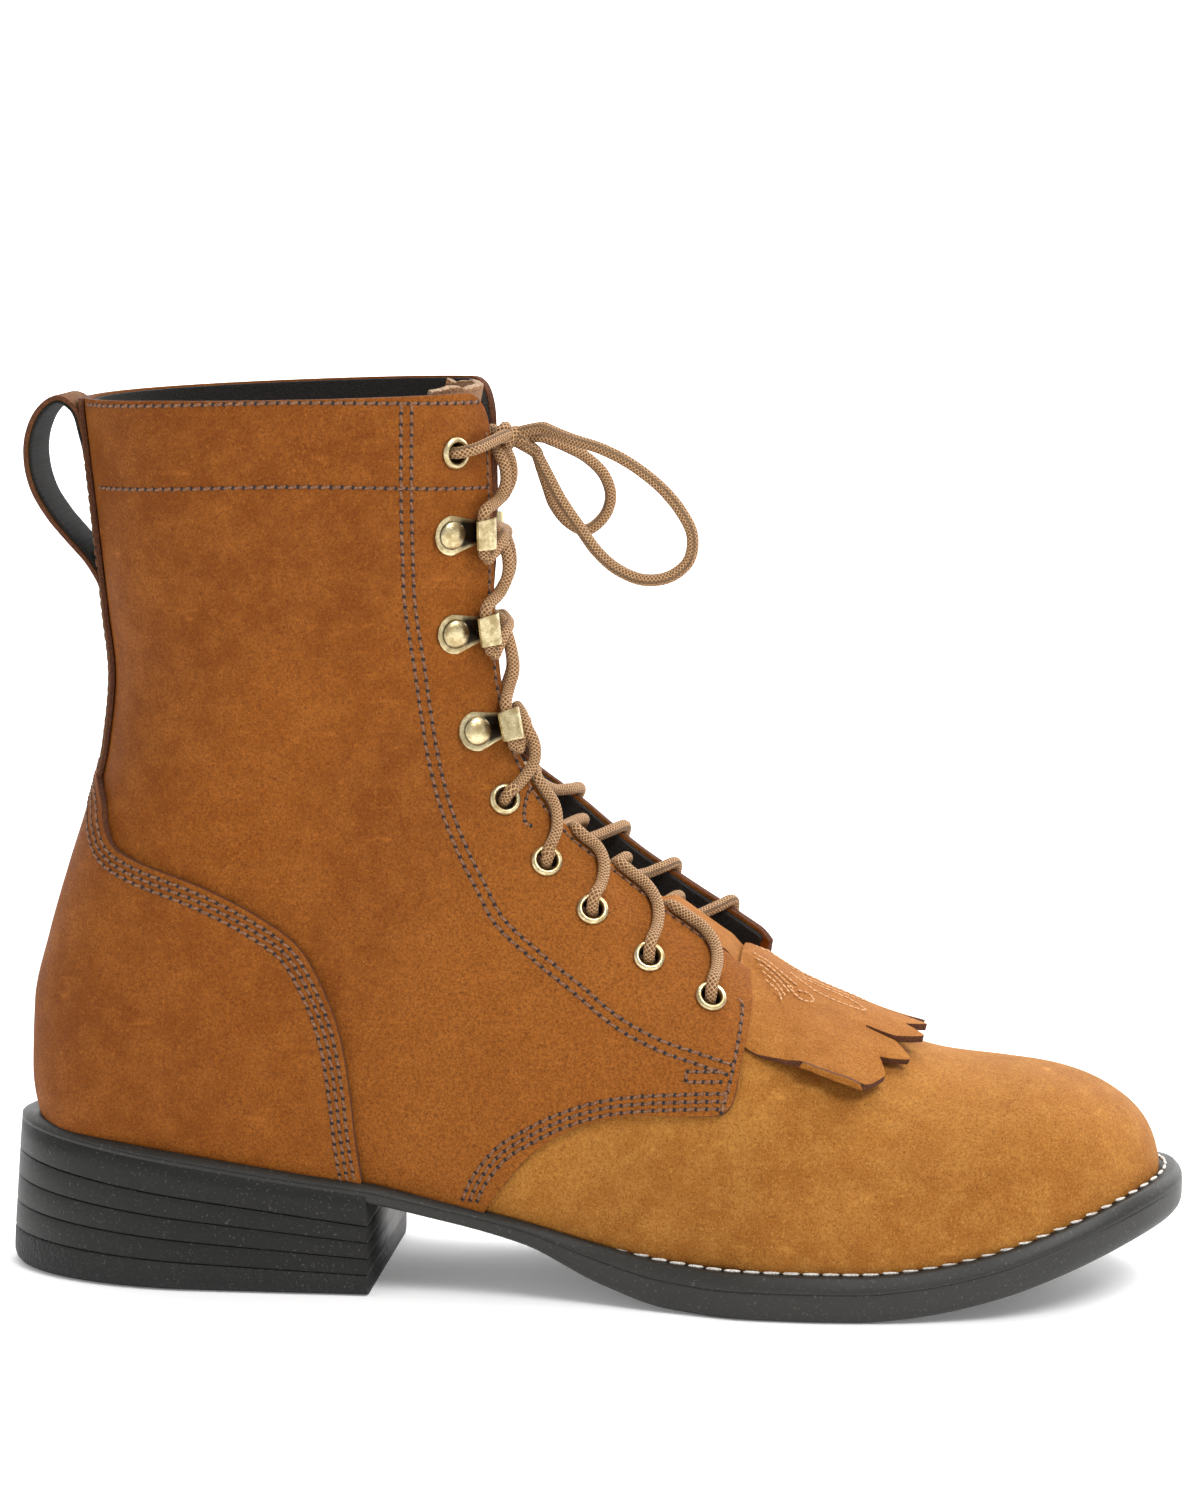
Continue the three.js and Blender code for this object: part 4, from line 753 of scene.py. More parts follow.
def nubuck(name, tone, deep, light, front=0.0):
    """Brushed leather: blotches, fine mottling and a short nap; front sets how much painted light brightens
    the front and lower part.
    """
    f = Finish(name, Specular_IOR_Level=0.12)
    blotch = f.noise(15, 4, 0.55).clamp(0.38, 0.64)
    patch = f.noise(42, 3, 0.6).clamp(0.45, 0.75)
    mottle = f.noise(1300, 2, 0.6).clamp(0.3, 0.7)
    speck = f.noise(2600, 1, 0.5).clamp(0.54, 0.68)
    fibre = f.noise(2100, 2, 0.6, stretch=(1.2, 1, 0.8)).clamp(0.56, 0.72)
    scuff = f.noise(70, 4, 0.7, stretch=(1, 1, 3.2)).clamp(0.6, 0.78)
    cloud = f.noise(150, 3, 0.6).clamp(0.35, 0.7)
    colour = f.mix(blotch * 0.6, linear(tone), linear(deep))
    # Painted light and shade: lighter towards the front and bottom, darker up the back, scaled by front
    ahead = (f.axis("X", f.place()) - f.axis("Z", f.place()) * 0.5).clamp(-0.12, -0.06)
    colour = f.mix(ahead * front, colour, linear(light))
    colour = f.mix(patch * 0.34, colour, linear(light))
    colour = f.mix(cloud * 0.4, colour, linear(light))
    colour = f.mix(mottle * 0.58, colour, linear(deep))
    colour = f.mix(scuff * 0.5, colour, linear(light, 1.12))
    colour = f.mix(fibre * 0.5, colour, linear(light, 1.1))
    colour = f.mix(speck * 0.4, colour, linear(deep, 0.6))
    nap = f.bump(f.noise(1900, 3, 0.65), 0.00032, 1.0)
    grain = f.bump(f.noise(420, 3, 0.6), 0.0005, 0.5, nap)
    return f.set(Base_Color=colour, Roughness=f.noise(60, 2, 0.5) * 0.16 + 0.64, Normal=grain)


# The shaft's copy has painted light: lighter at its front and bottom, darker up the back
nubuck_shaft = nubuck("nubuck", (137, 76, 20), (104, 51, 9), (160, 98, 38), front=0.45)
# The vamp's lighter copy: partly the leather's own tone, partly painted light falling from above
nubuck_vamp_tone_and_light = nubuck("nubuck_vamp_tone_and_light", (169, 111, 45), (132, 78, 26), (188, 134, 64))
strap_leather = nubuck("strap_leather", (104, 63, 26), (78, 44, 17), (140, 96, 54))
kiltie_leather = nubuck("kiltie_leather", (162, 102, 40), (132, 78, 26), (186, 126, 60))


def cut_edge(name, tone):
    """The raw edge of a cut hide: darker, with loose fibres."""
    f = Finish(name)
    fibre = f.noise(1800, 3, 0.7).clamp(0.35, 0.7)
    colour = f.mix(fibre, linear(tone, 0.6), linear(tone))
    return f.set(Base_Color=colour, Roughness=fibre * 0.1 + 0.85, Normal=f.bump(fibre, 0.0004, 0.9))


edge_leather = cut_edge("edge_leather", (122, 66, 30))


def suede(name, tone):
    f = Finish(name)
    fibre = f.noise(1500, 4, 0.7).clamp(0.3, 0.72)
    colour = f.mix(fibre, linear(tone, 0.55), linear(tone))
    return f.set(Base_Color=colour, Roughness=fibre * 0.08 + 0.88, Normal=f.bump(fibre, 0.0005, 1.0))


tongue_leather = suede("tongue_leather", (196, 138, 90))
tongue_edge = suede("tongue_edge", (236, 196, 156))
lining = suede("lining", (46, 40, 35))


def tape_weave():
    f = Finish("webbing")
    x, z = f.axis("X", f.place()), f.axis("Z", f.place())
    weave = ((z * 5200).wave() + (f.axis("Y", f.place()) * 5200).wave()).clamp(-0.8, 1.2)
    fuzz = f.noise(2400, 2, 0.6, x + f.place())
    colour = f.mix(weave * 0.5 + fuzz * 0.3, linear((8, 8, 7)), linear((30, 28, 26)))
    return f.set(Base_Color=colour, Roughness=fuzz * 0.1 + 0.82, Normal=f.bump(weave, 0.0004, 0.8))


webbing = tape_weave()


def rubber(name, tone, coarse, shine=0.4):
    """Moulded rubber: a fine grain, or a coarse stipple."""
    f = Finish(name, Specular_IOR_Level=shine)
    cloud = f.noise(30, 3, 0.6).clamp(0.3, 0.75)
    dust = f.noise(1400, 2, 0.6).clamp(0.62, 0.72)
    colour = f.mix(cloud, linear(tone), linear(tone, 1.16))
    colour = f.mix(dust * 0.18, colour, linear((150, 148, 142)))
    fine = f.bump(f.noise(2600, 2, 0.6), 0.00012, 0.6)
    scale, depth, strength = (900, 0.0007, 1.0) if coarse else (260, 0.0002, 0.25)
    pits = f.bump(f.noise(scale, 2, 0.55), depth, strength, fine)
    rough = f.noise(55, 3, 0.6) * 0.22 + (0.5 if coarse else 0.36)
    return f.set(Base_Color=colour, Roughness=rough, Normal=pits)


sole_rubber = rubber("sole_rubber", (35, 34, 31), False)
heel_rubber = rubber("heel_rubber", (22, 22, 20), False, 0.28)
top_lift_rubber = rubber("top_lift_rubber", (29, 29, 28), True, 0.3)


def brass():
    f = Finish("antique_brass", Metallic=1.0)
    tarnish = f.noise(380, 3, 0.6).clamp(0.36, 0.66)
    colour = f.mix(tarnish, linear((214, 198, 156)), linear((166, 146, 104)))
    # The dark field is painted shade in the fittings' hollows
    colour = f.mix(f.field("dark"), colour, linear((58, 52, 42)))
    brush = f.bump(f.noise(900, 2, 0.5, stretch=(1, 1, 6)), 0.00012, 0.5)
    return f.set(Base_Color=colour, Roughness=tarnish * 0.14 + 0.26, Normal=brush)


antique_brass = brass()


def braid():
    """A round braided cord: strands that cross in a herringbone, with darker flecks, and painted shade in the
    grooves between strands.
    """
    f = Finish("lace_cord")
    run, turn = f.field("run"), f.field("turn")
    across = turn * 6.2832 * 7
    left, right = (run * 6.4 + across).wave(), (run * 6.4 - across).wave()
    strands = left.math("MAXIMUM", right).clamp(-0.25, 1.0)
    fleck = (run * 0.45 + (turn * 2).part() * 3 + f.noise(700, 2, 0.5) * 2).part().clamp(0.72, 0.95)
    # Painted shade: the colour darkens towards the grooves between the strands
    colour = f.mix(strands, linear((108, 72, 40)), linear((202, 158, 110)))
    colour = f.mix(fleck * 0.45, colour, linear((128, 84, 46)))
    fuzz = f.bump(f.noise(3200, 2, 0.6), 0.0001, 0.5)
    weave = f.bump(strands, 0.0007, 1.0, fuzz)
    return f.set(Base_Color=colour, Roughness=strands * -0.1 + 0.8, Normal=weave)


lace_cord = braid()


def thread(name, tone, bright):
    f = Finish(name)
    twist = f.noise(2200, 2, 0.5).clamp(0.35, 0.65)
    colour = f.mix(twist, linear(tone), linear(bright))
    return f.set(Base_Color=colour, Roughness=twist * 0.1 + 0.66, Normal=f.bump(twist, 0.0002, 0.7))


dark_thread = thread("dark_thread", (98, 62, 38), (146, 102, 70))
# Needle holes: dark marks of painted shade where the thread goes in
hole_painted_shade = thread("needle_hole", (20, 12, 8), (34, 20, 12))
white_thread = thread("white_thread", (196, 190, 178), (246, 242, 234))
tan_thread = thread("tan_thread", (196, 140, 92), (232, 184, 136))

# Upper: vamp, quarters, lining, counter, backstrap, tongue
EDGE_QUARTER = [
    (0.64, 1.25), (0.637, 0.97), (0.641, 0.9), (0.64, 0.83), (0.6365, 0.72), (0.627, 0.56), (0.6, 0.535),
    (0.555, 0.51), (0.52, 0.455), (0.49, 0.37), (0.465, 0.27), (0.44, 0.12), (0.425, 0.02), (0.42, -0.05),
]
EDGE_COUNTER = [
    (0.334, -0.3), (0.321, 0.03), (0.316, 0.16), (0.311, 0.34), (0.304, 0.51), (0.292, 0.66), (0.268, 0.83),
    (0.235, 0.92), (0.185, 1.0), (0.13, 1.05), (0.113, 1.08), (0.106, 1.14), (0.103, 1.22), (0.094, 1.31),
]


def middle_line(points, rise, step):
    """A line given as (along, share of a rise) in side view, as places in the middle plane."""
    along, up = np.array(points).T
    x = HEEL_END + along * SOLE_LENGTH
    return spline(np.stack([x, np.zeros_like(x), sole_top(x) + up * rise], -1), step)


def side_line(points, side, step=2.0):
    """The same, as rows and shares of the form."""
    line = middle_line(points, VAMP_RISE, step)
    return locate(line[:, 0], line[:, 2], side)


def s_to_g(t, s, side):
    """Share g of the section, s of the way from the sole to the throat."""
    low = line("sole", t, side)
    return low + s * (line("throat", t, side) - low)


def make_vamp():
    rows = np.concatenate([np.linspace(0, 1, 10)[:-1], np.linspace(1, 16.4, 150)])
    half = np.linspace(0, 1, 64)
    halves = []
    for side in (LATERAL, MEDIAL):
        t = np.repeat(rows[:, None], len(half), 1)
        low = line("sole", t, side)
        halves.append(leather(t, low - 0.004 + half * (1 - low + 0.004), side, 0))
    points, outward = [np.concatenate([outer, inner[:, ::-1][:, 1:]], 1) for outer, inner in zip(*halves)]
    # Behind row 12 the middle is open, for the throat
    faces_across = points.shape[1] - 1
    middle = np.abs(np.linspace(-1, 1, faces_across))
    keep = (rows[:-1, None] <= 12.0) | (middle[None] > 0.42)
    materials = [nubuck_vamp_tone_and_light, edge_leather, lining]
    return clean(panel("vamp", points, outward, materials, 1.8, keep.ravel(), inside=2))


vamp = make_vamp()


def holes(points):
    """Which faces to keep so that each eyelet has its hole."""
    middle = (points[:-1, :-1] + points[1:, 1:]) / 2
    far = [np.linalg.norm(middle - centre, axis=-1) for centre in EYELET_CENTRES]
    return (np.min(far, axis=0) > EYELET_HOLE).ravel()


def collar_row(g, side):
    """The row where the collar's top lies, with its tilt and the rounded front corners."""
    t = np.full_like(g, COLLAR_ROW)
    x, y, _ = skin(t, g, side).T
    gap = (line("throat", t, side) - g) * line("length", t, side)
    inside = np.clip(COLLAR_CORNER - gap, 0, COLLAR_CORNER)
    drop = COLLAR_CORNER - np.sqrt(COLLAR_CORNER**2 - inside**2)
    # On the outer side it falls off towards the front, over 75 mm
    fall = np.where(y < 0, COLLAR_FALL * np.clip((x + 105) / 75, 0, 1), 0)
    return COLLAR_ROW + (COLLAR_RISE - fall + COLLAR_TILT * y / SHAFT_WIDTH - drop) / OVER


def quarter_grid(side, rows, columns, offset, start=None, end_drop=0.0):
    """Points and normals of a quarter, from its lower front edge, or a row, up to the collar."""
    s = 1 - (1 - np.linspace(0, 1, columns)) ** 1.25
    edge_t, edge_g = side_line(EDGE_QUARTER, side)
    low = line("sole", edge_t, side)
    edge_s = (edge_g - low) / (line("throat", edge_t, side) - low)
    order = np.argsort(edge_s)
    first = np.interp(s, edge_s[order], edge_t[order]) if start is None else np.full(columns, float(start))
    last = collar_row(s_to_g(np.full(columns, float(COLLAR_ROW)), s, side), side) - end_drop
    u = np.linspace(0, 1, rows)[:, None]
    t = first * (1 - u) + last * u
    return facing(t, s_to_g(t, np.repeat(s[None], rows, 0), side), side, offset)


STATIONS = [
    ("eyelet", 27.75, 1.08),
    ("hook", 25.55, 1.2),
    ("hook", 22.65, 1.1),
    ("hook", 19.75, 0.86),
    ("eyelet", 17.8, 0.8),
    ("eyelet", 16.25, 0.96),
    ("eyelet", 15.05, 1.3),
    ("eyelet", 13.95, 1.45),
    ("eyelet", 12.75, 1.5),
]
SEAT = QUARTER + 0.2
HOOK_RISE = {1: 0.0, 2: 0.1, 3: 0.2}


def fitting(station, side):
    """Matrix of a fitting: x to the throat, y up the facing, z out of the leather."""
    kind, row, inset = STATIONS[station]
    g = line("throat", row, side) - inset * FACING_INSET / line("length", row, side)
    p, out = facing(row, g, side, 0)
    ahead = skin(row, g + 0.01, side) - skin(row, g - 0.01, side)
    if kind == "hook":
        ahead = np.array([1.0, 0.0, HOOK_RISE[station]])
    ahead = ahead - out * (ahead @ out)
    ahead /= np.linalg.norm(ahead)
    up = np.cross(out, ahead)
    return posed(ahead, up if up[2] > 0 else -up, out, p + out * SEAT)


FITTINGS = {(k, side): fitting(k, side) for k in range(len(STATIONS)) for side in (LATERAL, MEDIAL)}
EYELET_CENTRES = [m[:3, 3] for (k, _), m in FITTINGS.items() if STATIONS[k][0] == "eyelet"]


def make_quarter(side):
    points, outward = quarter_grid(side, 190, 110, QUARTER)
    materials = [nubuck_shaft, edge_leather]
    return panel(f"quarter_{WORD[side]}", points, outward, materials, 1.7, holes(points), rounding=0.5)


def make_lining(side):
    points, outward = quarter_grid(side, 150, 90, -0.28, start=12.2, end_drop=0.05)
    return panel(f"lining_{WORD[side]}", points, outward, [lining], 1.7, holes(points), rounding=0.4)


quarters = {side: make_quarter(side) for side in (LATERAL, MEDIAL)}
linings = {side: make_lining(side) for side in (LATERAL, MEDIAL)}


def make_counter():
    rows = np.linspace(15.96, 24.66, 130)
    half = np.linspace(0, 1, 56)
    halves = []
    for side in (LATERAL, MEDIAL):
        edge_t, edge_g = side_line(EDGE_COUNTER, side)
        order = np.argsort(edge_t)
        edge = np.interp(rows, edge_t[order], edge_g[order])
        low = line("sole", rows, side)
        low = low - 0.003 * (low > 0)
        g = low[:, None] + half * np.maximum(0.0005, edge - low)[:, None]
        halves.append(leather(np.repeat(rows[:, None], len(half), 1), g, side, QUARTER + COUNTER + 0.25))
    points, outward = [np.concatenate([outer[:, ::-1], inner], 1) for outer, inner in zip(*halves)]
    keep = np.ones((len(rows) - 1, points.shape[1] - 1), bool)
    keep[:, len(half) - 1] = False
    materials = [nubuck_shaft, edge_leather]
    return clean(panel("counter", points, outward, materials, 1.7, keep.ravel(), rounding=0.5))


counter = make_counter()


def strip(t, across):
    """Side and share of the section for points laid out across the middle."""
    side = np.where(across < 0, LATERAL, MEDIAL)[None].repeat(len(t), 0)
    return side, np.abs(across)[None] / line("length", t, side)


def make_backstrap():
    across = np.linspace(-11.5, 11.5, 21)
    t = np.repeat(np.linspace(22.3, 29.2, 90)[:, None], len(across), 1)
    side, g = strip(t, across)
    points, outward = leather(t, g, side, QUARTER + STRAP + 0.3)
    return panel("backstrap", points, outward, [strap_leather, edge_leather], 1.4, rounding=0.4)


backstrap = make_backstrap()


def make_tongue():
    """A curved sheet, sunk in the throat, with a roughly cut top."""
    across = np.linspace(-29, 31, 41)
    rng = np.random.default_rng(4)
    t = np.repeat(np.linspace(10.6, 29.0, 110)[:, None], len(across), 1)
    t[-1] += np.interp(across, np.linspace(-29, 31, 16), rng.normal(0, 0.035, 16)) + 0.1
    side, g = strip(t, across)
    sink = 3.6 + 4.4 * np.clip(1 - np.abs(t - 14.5) / 4, 0, 1)
    sink = sink * np.clip((29.6 - t) / 1.4, 0, 1)
    points, outward = leather(t, 1 - g, side, -2.6 - sink)
    return panel("tongue", points, outward, [tongue_leather, tongue_edge], 2.4, rounding=0.5)


tongue = make_tongue()

# Pull loop: a folded strap with woven tape inside
LOOP_LINE = [
    (0.1, 0.725), (0.094, 0.758), (0.083, 0.788), (0.067, 0.815), (0.05, 0.845), (0.037, 0.88),
    (0.032, 0.918), (0.034, 0.953), (0.043, 0.985), (0.057, 1.003), (0.07, 0.993), (0.077, 0.96),
    (0.0835, 0.91), (0.0905, 0.85), (0.0965, 0.79), (0.1, 0.745),
]


def ribbon(name, route, width, low, high, materials, rough=0.25, rounding=0.4):
    """A strap along a route in side view, its face high out from the route and its back low."""
    ahead = directions(route)
    out = np.stack([ahead[:, 2], np.zeros(len(route)), -ahead[:, 0]], -1)
    if (out * (route - route.mean(0))).sum() < 0:
        out = -out
    across = np.linspace(-0.5, 0.5, 13)
    rng = np.random.default_rng(len(name))
    wave = np.convolve(rng.normal(0, rough, len(route) + 6), np.ones(4) / 4, "same")[3:-3]
    points = np.repeat((route + out * high)[:, None], len(across), 1)
    points[..., 1] = across[None] * (width + wave[:, None])
    outward = np.repeat(out[:, None], len(across), 1)
    return panel(name, points, outward, materials, high - low, rounding=rounding)


loop_path = middle_line(LOOP_LINE, BACK_RISE, 1.1)
pull_loop = ribbon("pull_loop", loop_path, 22.6, 0.1, 1.4, [strap_leather, edge_leather])
ribbon("loop_tape", loop_path[1:-1], 21.4, -0.8, 0.05, [webbing], rough=0.4)

# Kiltie: a fringed flap, narrow between the facings and wide over the vamp
KILTIE_ROWS = [
    (0.557, 0.074, -0.007, 0.014),
    (0.57, 0.106, -0.0056, 0.028),
    (0.6, 0.111, -0.0028, 0.028),
    (0.625, 0.111, 0.0085, 0.025),
    (0.636, 0.111, 0.035, 0.02),
    (0.644, 0.115, 0.042, 0.02),
    (0.6475, 0.315, 0.048, 0.155),
    (0.675, 0.35, 0.054, 0.19),
    (0.714, 0.362, 0.068, 0.2),
    (0.753, 0.355, 0.079, 0.19),
    (0.8, 0.33, 0.09, 0.17),
    (0.83, 0.31, 0.095, 0.16),
]
STRIPS, HUB, REACH, ROOT, SPREAD = 7, 0.62, 0.472, 0.36, 0.83
FLAP_SIDE = 0.95
FRINGE = SPREAD / FLAP_SIDE
SLIT = 0.01
KILTIE_THICK = 1.8
KILTIE_SKINS = [kiltie_leather, edge_leather]
KILTIE_MIDDLE = THROAT_SHIFT * 0.6
kiltie_at, kiltie_half, kiltie_lift, kiltie_droop = columns(KILTIE_ROWS)
ridge_x = HEEL_END + columns(SECTIONS)[0] * SOLE_LENGTH
RIDGE = curve(ridge_x[::-1], FORM["front_z"](np.arange(len(SECTIONS)))[::-1])
KILTIE_HALF = curve(kiltie_at, kiltie_half * BALL_WIDTH)
KILTIE_LIFT = curve(kiltie_at, kiltie_lift * VAMP_RISE)
KILTIE_DROOP = curve(kiltie_at, kiltie_droop * VAMP_RISE)


def kiltie_top(x, y):
    """Height of the flap's face over a point seen from above."""
    at = share(x)
    out = (y - KILTIE_MIDDLE) / KILTIE_HALF(at)
    return RIDGE(x) + KILTIE_LIFT(at) - KILTIE_DROOP(at) * out**2


def vamp_height(t, y):
    """Height of the form at row t, y out from the middle."""
    return FORM["back_z"](t) + width_share(t, y) * (FORM["front_z"](t) - FORM["back_z"](t))


def upright(points):
    up = np.zeros_like(points)
    up[..., 2] = 1
    return up


def make_neck():
    """The kiltie's neck, which dips under the lace at its top and under the flap at its foot."""
    rows = np.linspace(0.556, 0.638, 40)
    across = np.linspace(-1, 1, 17)
    x = np.repeat((HEEL_END + rows * SOLE_LENGTH)[:, None], len(across), 1)
    y = KILTIE_MIDDLE + across[None] * np.minimum(KILTIE_HALF(rows), 0.117 * BALL_WIDTH)[:, None]
    sunk = 3.0 * (1 - np.clip((rows - 0.56) / 0.012, 0, 1)) + 1.9 * np.clip((rows - 0.618) / 0.012, 0, 1)
    z = RIDGE(x) + KILTIE_LIFT(rows)[:, None] + NECK_CLEAR - sunk[:, None]
    z = z - 0.02 * VAMP_RISE * across[None] ** 2
    neck = np.stack([x, y, z - 0.3], -1)
    return panel("kiltie_neck", neck, upright(neck), KILTIE_SKINS, KILTIE_THICK, rounding=0.5)


def fringe_columns():
    """Where the flap's columns lie from side to side, and which gaps between them are slits."""
    places, slit = [], []
    for k in range(STRIPS):
        low, high = (2 * k / STRIPS - 1) * FRINGE, (2 * (k + 1) / STRIPS - 1) * FRINGE
        low = -FLAP_SIDE if k == 0 else low + SLIT / 2
        high = FLAP_SIDE if k == STRIPS - 1 else high - SLIT / 2
        places += list(np.linspace(low, high, 17))
        slit += [False] * 16 + [True]
    return np.clip(np.array(places), -1, 1), np.array(slit[:-1])


def make_flap():
    """The flap: from its rear edge to the fringe's points, with a slit between strips."""
    c, slit = fringe_columns()
    k = (c / FRINGE + 1) / 2 * STRIPS
    f = k - np.floor(k)
    point = np.where(f < 0.6, f / 0.6, (1 - f) / 0.4)
    point = np.where((k < 0.6) | (k > STRIPS - 0.6), 1, point)
    reach = REACH * BALL_WIDTH + 3 * np.abs(2 * k / STRIPS - 1) - 6.6 * (1 - np.clip(point, 0, 1)) ** 1.1
    reach = np.where(np.abs(c) > 0.8, reach - 2.5 * ((np.abs(c) - 0.8) / 0.15) ** 2, reach)
    centre = np.array([HEEL_END + HUB * SOLE_LENGTH, KILTIE_MIDDLE])
    angle = c * FLAP_SIDE
    far = np.stack([centre[0] + reach * np.cos(angle), centre[1] + reach * np.sin(angle)], -1)
    rear = np.full_like(c, HEEL_END + 0.63 * SOLE_LENGTH)
    near = np.stack([rear, KILTIE_MIDDLE + c / FLAP_SIDE * 34.5], -1)
    q = np.linspace(0, 1, 44)[:, None]
    plan = near * (1 - q[..., None]) + far * q[..., None]
    x, y = plan[..., 0], plan[..., 1] + np.sin(np.pi * q) * 2.2 * c**5 - KILTIE_MIDDLE
    y = KILTIE_MIDDLE + np.clip(y, -0.362 * BALL_WIDTH, 0.362 * BALL_WIDTH)
    # Each strip curls up or down a little at its end
    rng = np.random.default_rng(3)
    lift = rng.normal(0, 0.35, STRIPS)[np.clip(np.floor(k), 0, STRIPS - 1).astype(int)] * q**6
    wide = share(np.maximum(x, 46.5))
    out = (y - KILTIE_MIDDLE) / KILTIE_HALF(wide)
    free = RIDGE(x) + KILTIE_LIFT(share(x)) - KILTIE_DROOP(wide) * out**2
    # Beside the neck, the flap's rear lies on the vamp, held by the seam
    rows_at = np.interp(-x, -FORM["front_x"](ROWS)[:300], ROWS[:300])
    under = vamp_height(rows_at, y) + 1.15
    out_of_seam = ease(np.clip((x - 42.5) / 17, 0, 1))
    hold = (1 - out_of_seam) * np.clip((np.abs(y - KILTIE_MIDDLE) - 8) / 4.5, 0, 1)
    z = free * (1 - hold) + under * hold + lift + 1.5 * np.abs(c) ** 3 * out_of_seam
    flap = np.stack([x, y, z], -1)
    outside = np.linalg.norm(flap[:-1, :-1, :2] - centre, axis=-1) > ROOT * BALL_WIDTH
    keep = ~(slit[None] & outside)
    return panel("kiltie", flap, upright(flap), KILTIE_SKINS, KILTIE_THICK, keep.ravel(), rounding=0.35)


kiltie_neck, kiltie = make_neck(), make_flap()


# Sole
def height(edge, x):
    """Height at x of an edge: a function, or the heights at the heel's breast and back."""
    return edge(x) if callable(edge) else heel_line(edge, x)


def level(inset, low, high, up, lean=0.0, end=TOE_END, count=150):
    """One closed ring of the sole, up of the way between two edges: heel to toe outside, back inside."""
    flare = lean * HEEL_FLARE
    start, stop = HEEL_END + (inset + flare), end - (inset if end == TOE_END else 0)
    x = start + (stop - start) * (1 - np.cos(np.linspace(0, np.pi, count))) / 2
    z = height(low, x) * (1 - up) + height(high, x) * up
    cap = rounded(x - start, HEEL_ROUND[0] - inset - flare, HEEL_ROUND[1])
    if end == TOE_END:
        cap = cap * rounded(stop - x, TOE_ROUND[0] - inset, TOE_ROUND[1])
    rows = []
    for side in (LATERAL, MEDIAL):
        half = PLAN_HALF[side](share(x)) - inset - flare * np.clip((BREAST - x) / HEEL_LENGTH, 0, 1)
        rows.append(np.stack([x, side * np.maximum(half * cap, 0.0), z], -1))
    return np.concatenate([rows[0], rows[1][::-1]])


def lofted(name, rings, material):
    """A closed solid from rings, bottom to top, with its bottom and top filled across."""
    count, shares = len(rings[0]), np.linspace(0, 1, 9)
    half, inner = count // 2, len(shares) - 2
    points, faces = [*rings], [grid_faces(len(rings), count, around=True)]
    for top, base in ((False, 0), (True, (len(rings) - 1) * count)):
        ring = rings[-1] if top else rings[0]
        ids = np.zeros((half, len(shares)), int)
        ids[:, 0], ids[:, -1] = base + np.arange(half), base + count - 1 - np.arange(half)
        ids[:, 1:-1] = sum(map(len, points)) + np.arange(inner * half).reshape(inner, half).T
        points += [ring[:half] * (1 - w) + ring[::-1][:half] * w for w in shares[1:-1]]
        quads = np.stack([ids[:-1, :-1], ids[1:, :-1], ids[1:, 1:], ids[:-1, 1:]], -1).reshape(-1, 4)
        faces.append(quads if top else quads[:, ::-1])
    return clean(make_mesh(name, np.vstack(points), np.vstack(faces), [material]), 0.01)


# Rings of the edges, bottom to top: inset, share of the height, and the rand's share of the flare
EDGE_RINGS = [
    (2.6, 0.0), (1.3, 0.03), (0.5, 0.1), (0.08, 0.2), (0.0, 0.3), (0.0, 0.6), (0.04, 0.63), (0.32, 0.64),
    (0.32, 0.65), (0.06, 0.66), (0.04, 0.69), (0.5, 0.8), (1.7, 0.95), (2.2, 0.99), (2.8, 1.0), (4.2, 1.0),
]
RAND_RINGS = [
    (2, 0.0, 0.75), (0.3, 0.01, 0.75), (0.1, 0.03, 0.75), (0, 0.07, 0.75), (0, 0.5, 0.87), (0, 0.97, 1),
    (1, 1, 1),
]
LIFT_RINGS = [
    (2, 0.0), (0.3, 0.01), (0.1, 0.03), (0, 0.07), (0, 0.5), (0, 0.93), (0.1, 0.97), (0.3, 0.99), (2, 1.0),
]
TOP_RINGS = [
    (3.2, 0.0), (1.6, 0.05), (0.6, 0.16), (0.1, 0.32), (0, 0.5), (0, 0.9), (0.15, 0.97), (0.6, 0.995),
    (2, 1.0),
]
LEAN_LOW, LEAN_HIGH = 0.2, 0.75

edge_rings = [level(inset, sole_bottom, sole_top, up, lean=1.0) for inset, up in EDGE_RINGS]
outsole = lofted("outsole", edge_rings, sole_rubber)


def rand_top(x):
    return sole_bottom(x) + 2.4


def heel_ring(inset, low, high, up, lean):
    return level(inset, low, high, up, lean=lean, end=BREAST, count=120)


def make_heel():
    """The rand under the seat, three lifts and the top piece."""
    rings = [heel_ring(inset, HEEL_STACK, rand_top, up, lean) for inset, up, lean in RAND_RINGS]
    made = {"heel_rand": lofted("heel_rand", rings, heel_rubber)}
    steps = [i / LIFTS for i in range(LIFTS + 1)]
    edges = [[low + (high - low) * k for low, high in zip(TOP_LIFT, HEEL_STACK)] for k in steps]
    leans = [LEAN_LOW + (LEAN_HIGH - LEAN_LOW) * k for k in steps]
    for i in range(LIFTS):
        low, high, lean, change = edges[i], edges[i + 1], leans[i], leans[i + 1] - leans[i]
        rings = [heel_ring(inset, low, high, up, lean + change * up) for inset, up in LIFT_RINGS]
        made[f"lift_{i + 1}"] = lofted(f"lift_{i + 1}", rings, heel_rubber)
    rings = [heel_ring(inset, (0.0, 0.0), TOP_LIFT, up, LEAN_LOW * up) for inset, up in TOP_RINGS]
    made["top_piece"] = lofted("top_piece", rings, top_lift_rubber)
    return made


heel = make_heel()
WELT_START = HEEL_END + 0.525 * SOLE_LENGTH


